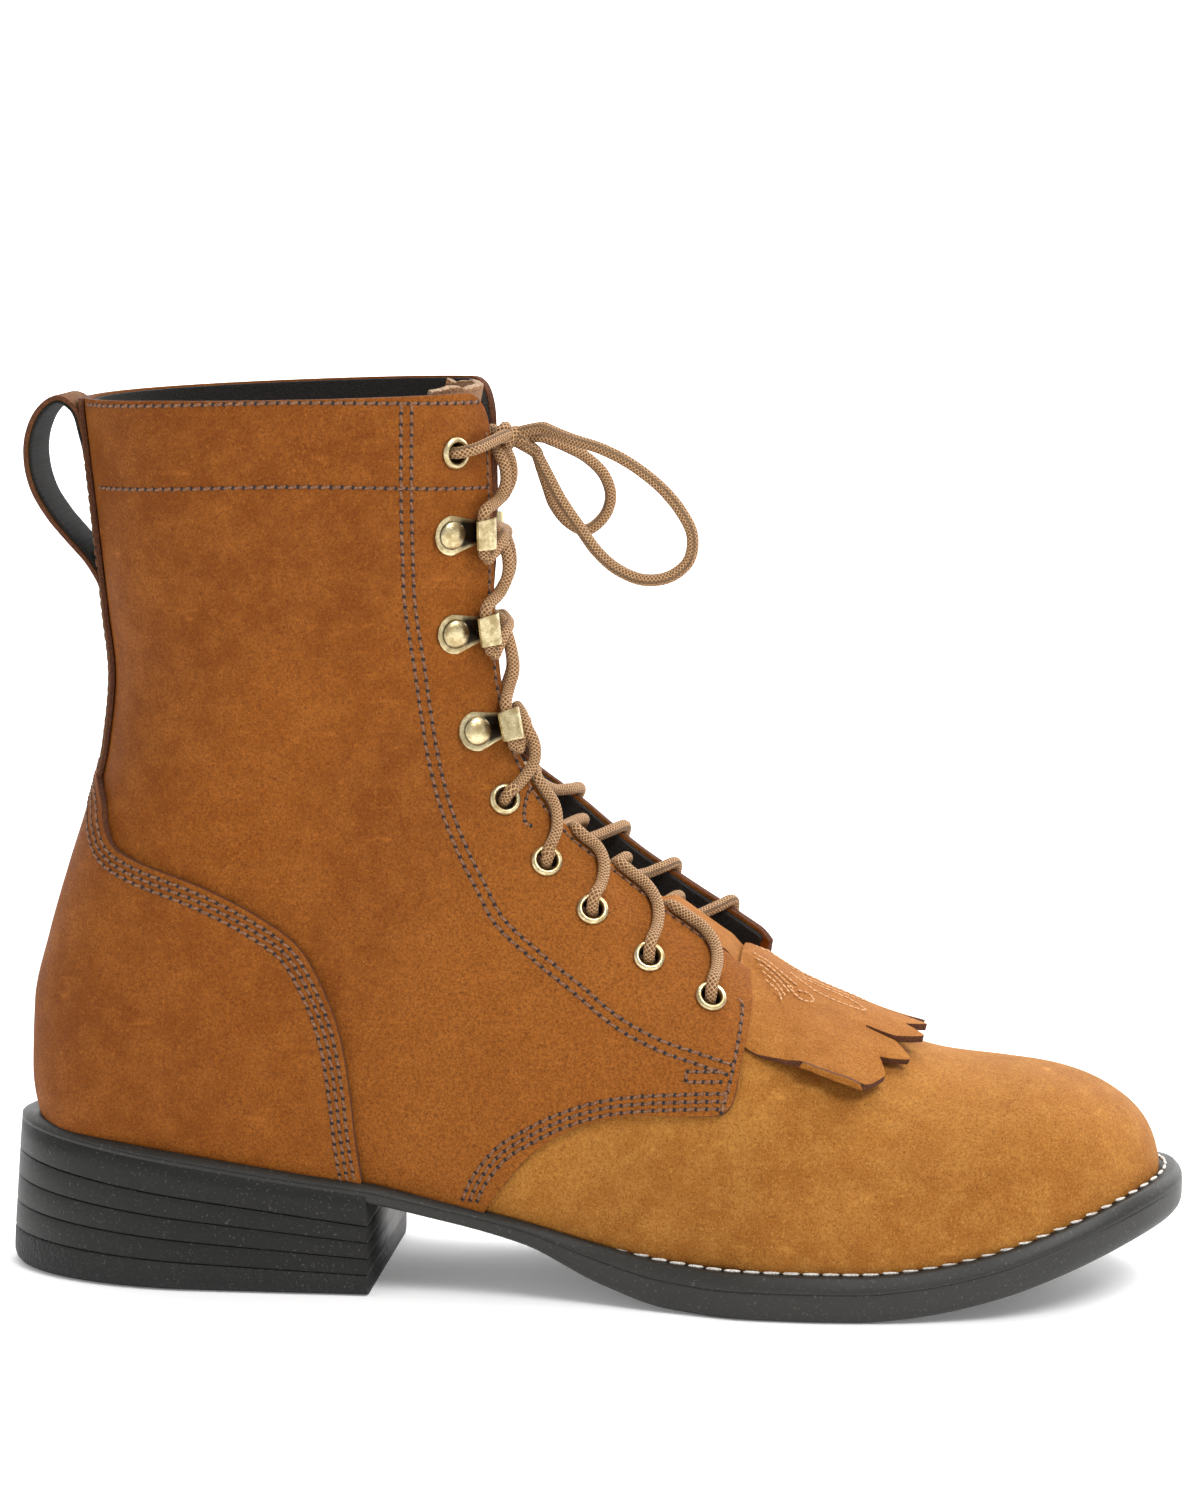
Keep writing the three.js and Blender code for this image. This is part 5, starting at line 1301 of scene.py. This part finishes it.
# Fittings
EYELET = [
    (2.6, -2.6), (3.1, -2.6), (3.1, -0.2), (3.3, -0.05), (4.1, 0.0), (4.15, 0.08), (4.08, 0.3), (3.85, 0.58),
    (3.5, 0.82), (3.15, 0.9), (2.85, 0.8), (2.66, 0.55), (2.6, 0.2), (2.6, -2.6),
]
RIVET = [(3.7, 0.5), (3.7, 0.8), (3.5, 1.1), (3.0, 1.4), (2.3, 1.66), (1.45, 1.82), (0.7, 1.9), (0.01, 1.92)]
# Hook: radius of its base, reach of its arm, radius of its bend and height of its face
HOOK_BASE, HOOK_REACH, HOOK_BEND, HOOK_FACE = 5.1, 8.6, 2.0, 0.5


def make_eyelet(station, side):
    # Painted shade inside the barrel, below the leather's face
    dark = [1.0 if z < 0.1 and r < 3 else 0.0 for r, z in EYELET]
    name = f"eyelet_{WORD[side]}_{station + 1}"
    return turned(name, EYELET, FITTINGS[station, side], antique_brass, dark)


def make_hook(station, side):
    """A bent hook: a round base under the rivet, an arm, and a lip folded back over it."""
    matrix = FITTINGS[station, side]
    name = f"hook_{WORD[side]}_{station + 1}"
    path = [(x, HOOK_FACE) for x in np.linspace(-HOOK_BASE, HOOK_REACH, 26)]
    for a in np.linspace(-1.45, 1.45, 12):
        path.append((HOOK_REACH + HOOK_BEND * math.cos(a), HOOK_FACE + HOOK_BEND + HOOK_BEND * math.sin(a)))
    for x in np.linspace(HOOK_REACH - 0.3, HOOK_REACH - 4.2, 9):
        path.append((x, HOOK_FACE + 2 * HOOK_BEND + 0.03 * (HOOK_REACH - x) ** 2))
    path = np.array(path)
    run = lengths(path)
    disc = np.sqrt(np.clip(HOOK_BASE**2 - np.clip(path[:, 0], -HOOK_BASE, 0) ** 2, 0.01, None))
    flare = np.interp(run, [0, 5.1, 9.8, 13.7, 16.3, 19.3, run[-1]], [5.1, 5.1, 3.7, 3.0, 3.7, 4.0, 3.7])
    half = np.where(run < HOOK_BASE, disc, flare)
    across = np.linspace(-1, 1, 15)
    wide = across[None] * half[:, None]
    local = np.stack(np.broadcast_arrays(path[:, :1], wide, path[:, 1:] + 0.02), -1)
    d = np.gradient(path, axis=0)
    out = np.stack(np.broadcast_arrays(-d[:, 1:], 0 * wide, d[:, :1]), -1)
    points = local @ matrix[:3, :3].T + matrix[:3, 3]
    # Painted shade: darkest on the arm under the folded lip, a little on the base, less along the rims,
    # almost none on the lip
    darkness = np.interp(run, [0, 6.8, 8.0, 13.0, 14.6, 30], [0.25, 0.35, 1, 1, 0.1, 0.0])
    rim = np.clip((np.abs(across) - 0.72) / 0.2, 0, 1)
    dark = np.clip(darkness[:, None] * (1 - rim[None] * 0.9), 0, 1)
    faces = facing_out(points, grid_faces(*points.shape[:2]), out @ matrix[:3, :3].T)
    plate = make_mesh(name, points.reshape(-1, 3), faces, [antique_brass], dark=dark)
    thicken(plate, 0.8, rounding=0.28)
    # The rivet's foot, where it meets the plate, is darkened as painted shade
    return [plate, turned(name + "_rivet", RIVET, matrix, antique_brass, [1, 0.8, 0.2, 0, 0, 0, 0, 0])]


fittings = {}
for (k, side) in FITTINGS:
    where = "lateral" if side < 0 else "medial"
    if STATIONS[k][0] == "eyelet":
        fittings[f"{where}_eyelet_{k + 1}"] = [make_eyelet(k, side)]
    else:
        fittings[f"{where}_hook_{k + 1}"] = make_hook(k, side)

# Lace
LACE = 3.1
ROUND = LACE / 2


def at_fitting(station, side, x, y, z):
    return (FITTINGS[station, side] @ np.array([x, y, z, 1.0]))[:3]


def throat_y(side):
    return THROAT_SHIFT + side * THROAT / 2


# A strand's way out of its fitting: share of the way to the next station, distance from the
# facing's edge and height over it
FROM_EYELET = {
    LATERAL: [
        (0.05, 7.6, 3.1), (0.16, 3.2, 3.2), (0.4, 0.2, 3.2), (0.7, -0.2, 3.0), (0.9, -0.3, 2.8),
        (0.98, -1.9, 0.8), (1.0, -2.2, -2.4),
    ],
    MEDIAL: [(0.07, 6.0, 3.1), (0.16, 2.6, 3.2), (0.26, -0.3, 3.1), (0.38, -2.8, 0.6), (0.5, -5.0, -2.2)],
}
FROM_HIGH_EYELET = [
    (0.03, 4.2, 3.2), (0.13, -0.4, 4.2), (0.35, -1.4, 5.6), (0.6, -1.4, 5.0), (0.78, -3.0, 2.2),
    (0.84, -5.5, -0.6),
]
FROM_HOOK = [(0.17, 0.0, 3.4), (0.34, -1.0, 4.8), (0.52, -1.2, 4.6), (0.68, -2.0, 2.6), (0.75, -4.6, -0.2)]


def leave(k, side):
    """From station k up the facing and over its edge."""
    row, step = STATIONS[k][1], STATIONS[k - 1][1] - STATIONS[k][1]
    edge = throat_y(side)
    if STATIONS[k][0] == "hook":
        start, way = [(8.2, -5.6, 2.4), (8.2, 0, 2.7), (8.2, 5.2, 2.7)], FROM_HOOK
    else:
        start, way = [(-0.2, -0.6, -3.2), (0.2, 0.2, 0.5), (2.4, 0.9, 2.8)], FROM_EYELET[side]
        if side == LATERAL and STATIONS[k - 1][0] == "hook":
            way = FROM_HIGH_EYELET
    step *= 1.2 if k == 1 else 1
    out = [at_fitting(k, side, *place) for place in start]
    return out + [over_form(row + up * step, edge + side * far, height) for up, far, height in way]


def arrive(k, side):
    """Out of the throat to station k: inside the flap to an eyelet, over its edge to a hook."""
    row = STATIONS[k][1]
    edge = throat_y(side)
    if STATIONS[k][0] == "eyelet":
        return [
            over_form(row - 0.12, edge - side * 3.0, -3.0),
            at_fitting(k, side, 5.5, -1.0, -5.4),
            at_fitting(k, side, 1.5, -0.6, -5.4),
        ]
    return [
        over_form(row - 0.8, edge - side * 3.4, 2.0),
        over_form(row - 0.86, edge - side * 0.4, 3.6),
        at_fitting(k, side, 9.2, -6.8, 2.7),
    ]


def crossing(k, side, height):
    """One strand from station k on a side to the next station up on the other side."""
    row, above = STATIONS[k][1], STATIONS[k - 1][1]
    if STATIONS[k - 1][0] == "hook":
        middle = above - 0.74
    elif STATIONS[k][0] == "hook":
        middle = above - 0.16
    else:
        middle = above if side == LATERAL else row + 0.74 * (above - row)
    return leave(k, side) + [over_form(middle, THROAT_SHIFT, height)] + arrive(k - 1, -side)


def strand(name, route, step=0.9, radius=ROUND):
    return tube(name, spline(route, step), radius, lace_cord)


strands = []
for k in range(len(STATIONS) - 1, 0, -1):
    for side in (LATERAL, MEDIAL):
        over = (side == LATERAL) == (k % 2 == 0)
        middle = (-3.0 if over else -5.4) - (1.8 if k > 4 else 0)
        strands.append(strand(f"lace_{WORD[side]}_{k + 1}", crossing(k, side, middle)))

KNOT = np.array([-20.6, -7.0, 218.8])
TO_KNOT = {LATERAL: (0.5, -4.2, 0.6), MEDIAL: (-1.5, 4.2, -1.0)}
for side in (LATERAL, MEDIAL):
    route = [at_fitting(0, side, *place) for place in ((-0.2, 0, -3.2), (0.2, 0.1, 0.6), (3.2, 0.3, 2.7))]
    route.append(over_form(STATIONS[0][1] + 0.12, throat_y(side) + side * 1.5, 4.4))
    route += [KNOT + TO_KNOT[side], KNOT + (0.6, side, 0.4)]
    strands.append(strand(f"lace_top_{WORD[side]}", route))

LOOP_LONG = [
    (-10.6, -8.6, 221.2), (-2.8, -14, 218.6), (5, -17, 216.4), (12.5, -19, 212.8), (20.1, -20, 207.1),
    (25.1, -20, 201.3), (28.2, -20, 195), (27.4, -20, 188.6), (22.6, -20, 184.4), (16, -20, 183.5),
    (9.2, -19, 186), (4, -18, 190.3), (-0.8, -16, 196.4), (-5.6, -14, 203), (-9.8, -11, 210),
    (-12.6, -8.4, 214.6),
]
LOOP_SHORT = [
    (-13.2, -3.6, 214.8), (-11.4, 2, 206.8), (-9.4, 6, 200), (-5.8, 8, 195.4), (-1.8, 9, 193.6),
    (2.8, 9, 197), (4.8, 8, 202.2), (3.4, 6, 208), (-0.8, 3, 212.8), (-5.6, 0, 215.8), (-10.9, -3.4, 218.4),
]


def bow_loop(name, points):
    route = spline(points, 0.9)
    piece = tube(name, route, ROUND, lace_cord)
    length = float(lengths(route)[-1])
    return piece, length


loop_long, long_length = bow_loop("bow_loop_long", LOOP_LONG)
loop_short, short_length = bow_loop("bow_loop_short", LOOP_SHORT)


def make_knot():
    """Two turns of the lace drawn tight, leaning with the bow, and their ends."""
    lean = np.array([[0.94, 0.1, 0.3], [-0.08, 0.99, -0.06], [-0.3, 0.04, 0.95]])
    a = np.linspace(0.2, 2 * np.pi - 0.1 + 0.2, 30)
    made = []
    for turn, (shift, radius) in enumerate(((-1.4, 2.6), (1.5, 2.4))):
        ring = np.stack([shift + 0.5 * np.sin(a), radius * np.cos(a), 0.85 * radius * np.sin(a)], -1)
        made.append(tube(f"knot_{turn + 1}", ring @ lean.T + KNOT, ROUND, lace_cord))
    heart = [KNOT + (-3.5, -0.5, 1.6), KNOT, KNOT + (4.2, -1.2, -0.6)]
    made.append(strand("knot_3", heart, 0.8, ROUND * 1.15))
    for number, points in enumerate((LOOP_LONG, LOOP_LONG[::-1], LOOP_SHORT, LOOP_SHORT[::-1])):
        start, onward = np.array(points[0], float), np.array(points[1], float)
        route = [KNOT, (KNOT + start) / 2 + (start - onward) * 0.08, start, start * 0.8 + onward * 0.2]
        made.append(strand(f"knot_end_{number + 1}", route, 0.8))
    return made


knot = make_knot()


# Stitches
FACING_ROW = [
    (0.3636, 2.851), (0.3626, 2.532), (0.3625, 2.354), (0.3637, 2.139), (0.371, 1.872), (0.3762, 1.712),
    (0.3834, 1.538), (0.3908, 1.425), (0.4066, 1.271), (0.422, 1.162), (0.4374, 1.063), (0.4698, 0.977),
    (0.5025, 0.909), (0.536, 0.827), (0.5697, 0.779), (0.6024, 0.743), (0.6312, 0.704),
]
BOX = [(0.6215, 0.687), (0.592, 0.683), (0.592, 0.648), (0.6215, 0.654)]
BOX_ROWS = [BOX[i : i + 2] for i in range(3)]
PATCH_ROW = [(0.4525, 1.53), (0.4494, 1.455), (0.4512, 1.402), (0.4585, 1.392)]
COLLAR_ROWS = [
    [(0.0905, 2.66), (0.2782, 2.795), (0.4115, 2.884)],
    [(0.1, 2.37), (0.2768, 2.499), (0.417, 2.583)],
]
QUARTER_LOW = [
    (0.6277, 0.54), (0.6047, 0.536), (0.5553, 0.5), (0.5217, 0.447), (0.4882, 0.36), (0.4631, 0.272),
    (0.4464, 0.206), (0.4295, 0.097), (0.422, 0.02),
]
QUARTER_FRONT = [
    (0.634, 0.93), (0.6387, 0.9), (0.6395, 0.843), (0.6381, 0.768), (0.6344, 0.66), (0.6277, 0.54),
]


def surface_line(points, side, offset, gap=0.0):
    """A line on a leather face, moved sideways by gap, as places and normals."""
    t, g = side_line(points, side, 1.0)
    if gap:
        p = skin(t, g, side)
        d = directions(p)
        flat = np.stack([-d[:, 2], np.zeros(len(d)), d[:, 0]], -1)
        flat /= np.linalg.norm(flat, axis=1, keepdims=True)
        moved = p + flat * gap
        t, g = locate(moved[:, 0], moved[:, 2], side)
    return facing(t, g, side, offset)


threads, needle = [], []


def sew(p, n, pitch=2.75, slant=0.22, wide=0.4, high=0.3, long=0.4):
    """Stitches, and dark marks of painted shade for the needle holes between them, along a line with its
    normals.
    """
    run = lengths(p)

    def look(values, at):
        return np.array([np.interp(at, run, values[:, i]) for i in range(3)])

    for k in range(int(run[-1] // pitch)):
        at = (k + 0.5) * pitch
        up = look(n, at)
        up /= np.linalg.norm(up)
        d = look(p, at + 0.4) - look(p, at - 0.4)
        d /= np.linalg.norm(d)
        d = d - up * (d @ up)
        d /= np.linalg.norm(d)
        tilted = d * math.cos(slant) + np.cross(up, d) * math.sin(slant)
        threads.append((look(p, at) + up * 0.05, tilted, up, long * pitch, wide, high))
        # Each needle hole is a dark mark of painted shade
        needle.append((look(p, at + pitch / 2) + up * 0.02, d, up, 0.5, 0.56, 0.12))


TOP = QUARTER + 0.02
for side in (LATERAL, MEDIAL):
    for gap in (0.0, -2.4):
        sew(*surface_line(FACING_ROW, side, TOP, gap))
    for row in COLLAR_ROWS:
        reach = [(along - 0.012 * (side > 0), rise) for along, rise in row]
        sew(*surface_line(reach, side, TOP))
    for row in BOX_ROWS:
        sew(*surface_line(row, side, TOP), pitch=2.2)
    rows = np.linspace(28.1, 12.9, 300)
    sew(*facing(rows, line("throat", rows, side) - 1.8 / line("length", rows, side), side, TOP))
    sew(*surface_line(QUARTER_FRONT, side, TOP, -1.9))
    for gap in (-1.8, -3.6, -5.4):
        sew(*surface_line(QUARTER_LOW, side, TOP, gap))
    for gap in (1.8, 3.6, 5.4):
        sew(*surface_line(EDGE_COUNTER[1:], side, QUARTER + COUNTER + 0.28, gap))
    rows = np.linspace(22.8, 28.8, 160)
    sew(*facing(rows, 9.8 / line("length", rows, side), side, QUARTER + STRAP + 0.32))

sew(*surface_line(PATCH_ROW, LATERAL, TOP), pitch=2.0)
capsules("leather_stitches", threads, dark_thread)
capsules("needle_hole_shade", needle, hole_painted_shade)

threads, needle = [], []
ring = level(4.5, sole_top, sole_top, 1, count=600) + (0, 0, 0.12)
ring = ring[ring[:, 0] > WELT_START + 2]
sew(ring, upright(ring), pitch=5.0, slant=0.05, wide=0.5, high=0.45, long=0.42)
capsules("welt_stitches", threads, white_thread)
capsules("welt_hole_shade", needle, hole_painted_shade)

# Decorative rows on the flap: fans of lines and small curls
threads, needle = [], []


def on_flap(points):
    """A line over the flap, given from above with y from its middle, with normals."""
    fine = spline([(x, KILTIE_MIDDLE + y, 0) for x, y in points], 0.5)
    x, y = fine[:, 0], fine[:, 1]
    fine[:, 2] = kiltie_top(x, y) + 0.05
    dx = kiltie_top(x + 0.5, y) - kiltie_top(x - 0.5, y)
    dy = kiltie_top(x, y + 0.5) - kiltie_top(x, y - 0.5)
    up = np.stack([-dx, -dy, np.ones(len(fine))], -1)
    return fine, up / np.linalg.norm(up, axis=1, keepdims=True)


FANS = [
    [(42.5 + k, 5 + 3.1 * k), (48.5 + 0.4 * k, 6.6 + 3.1 * k), (55 - 0.9 * k, 10.2 + 3.1 * k)]
    for k in range(5)
]
CURL = [(52, 13), (56, 16.5), (59, 14.4), (57.4, 11.6), (54.6, 12.6)]
LEAF = [(52, 3), (61, 8.2), (72, 6.4), (68, 2.4), (55, 1.2)]
for way in (-1, 1):
    for route in (*FANS, CURL, LEAF):
        mirrored = [(x, way * y) for x, y in route]
        sew(*on_flap(mirrored), pitch=1.7, slant=0.1, wide=0.26, high=0.22, long=0.42)
capsules("flap_stitches", threads, tan_thread)

# What each piece stands for: the model's parts it replaces are hidden
def stand_for(piece, slot, *nodes):
    if nodes:
        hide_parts(*nodes)


for side in (LATERAL, MEDIAL):
    stand_for(quarters[side], "nubuck", "upper")
    stand_for(linings[side], "lining")
stand_for(vamp, "nubuck", "upper")
stand_for(counter, "nubuck", "counter")
stand_for(backstrap, "strap_leather", "backstrap")
stand_for(tongue, "tongue_leather", "tongue")
stand_for(pull_loop, "strap_leather", "pull_loop")
stand_for(kiltie, "kiltie_leather", "kiltie")
stand_for(kiltie_neck, "kiltie_leather")
stand_for(outsole, "sole_rubber", "outsole", "welt")
for k in range(LIFTS):
    stand_for(heel[f"lift_{k + 1}"], "sole_rubber", f"heel_lift_{k + 1}")
stand_for(heel["heel_rand"], "sole_rubber")
stand_for(heel["top_piece"], "top_lift_rubber", "top_lift")
for name, made in fittings.items():
    stand_for(made[0], "antique_brass", name)
    for piece in made[1:]:
        stand_for(piece, "antique_brass")
for pieces, node in ((strands, "lace_crossings"), (knot, "lace_knot")):
    for piece in pieces:
        stand_for(piece, "lace_cord", node)
stand_for(loop_long, "lace_cord", "lace_loop_long")
stand_for(loop_short, "lace_cord", "lace_loop_short")

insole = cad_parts["insole"]
insole.data.materials.clear()
insole.data.materials.append(lining)

# Camera, light and stage
AZIMUTH, PITCH, ROLL = math.radians(5.75), math.radians(7.63), math.radians(-0.13)
CAMERA_FAR, CAMERA_HIGH, CAMERA_AIM = 1156, 292.1, 2.67
place = np.array([CAMERA_AIM + CAMERA_FAR * math.sin(AZIMUTH), -CAMERA_FAR * math.cos(AZIMUTH), CAMERA_HIGH])
camera = link("camera", bpy.data.cameras.new("camera"))
camera.data.lens = 108
camera.data.sensor_width = 36
camera.data.sensor_fit = "AUTO"
camera.data.clip_start = 0.05
camera.data.clip_end = 60
right = np.array([math.cos(AZIMUTH), math.sin(AZIMUTH), 0])
ahead = np.array([-right[1] * math.cos(PITCH), right[0] * math.cos(PITCH), -math.sin(PITCH)])
up = np.cross(right, ahead)
right, up = right * math.cos(ROLL) + up * math.sin(ROLL), up * math.cos(ROLL) - right * math.sin(ROLL)
camera.matrix_world = Matrix(posed(right, up, -ahead, place * MM).tolist())
bpy.context.scene.camera = camera


def area(name, place, aim, size, power):
    lamp = bpy.data.lights.new(name, "AREA")
    lamp.shape = "RECTANGLE"
    lamp.size, lamp.size_y = size
    lamp.energy = power
    place, aim = np.array(place, float), np.array(aim, float)
    back = (place - aim) / np.linalg.norm(place - aim)
    across = np.cross([0, 0, 1], back)
    across = across / np.linalg.norm(across)
    link(name, lamp).matrix_world = Matrix(posed(across, np.cross(back, across), back, place).tolist())


area("key", (0.9, -0.9, 1.6), (0.0, 0, 0.08), (0.8, 0.8), 26)
area("left", (-1.5, -1.3, 0.7), (-0.05, 0, 0.12), (1.0, 1.2), 4)
area("over", (0.2, 0.5, 1.9), (0, 0, 0), (1.6, 1.2), 24)
area("rim", (1.2, 1.1, 0.9), (0, 0, 0.1), (0.8, 0.8), 10)

world = bpy.data.worlds.new("studio")
world.use_nodes = True
world.node_tree.nodes["Background"].inputs["Color"].default_value = (1, 1, 1, 1)
world.node_tree.nodes["Background"].inputs["Strength"].default_value = 0.55
bpy.context.scene.world = world
bpy.context.scene.view_settings.view_transform = "Standard"

paper = Finish("paper", Roughness=0.9, Emission_Color=(1, 1, 1, 1), Emission_Strength=0.13)
tint = paper.mix(paper.noise(3, 2, 0.5) * 0.1, linear((252, 252, 252)), linear((248, 248, 249)))
paper.set(Base_Color=tint)


def stage_sheet(name, corners, material):
    data = bpy.data.meshes.new(name)
    data.from_pydata(corners, [], [(0, 1, 2, 3)])
    data.materials.append(material)
    link(name, data)


WHITE = (1, 1, 1, 1)
stage_sheet("floor", [(-6, -4, 0), (6, -4, 0), (6, 2.6, 0), (-6, 2.6, 0)], paper.material)
glow = Finish("backdrop", Base_Color=WHITE, Roughness=1.0, Emission_Color=WHITE, Emission_Strength=1.0)
stage_sheet("backdrop", [(-6, 2.6, -0.2), (6, 2.6, -0.2), (6, 2.6, 6), (-6, 2.6, 6)], glow.material)
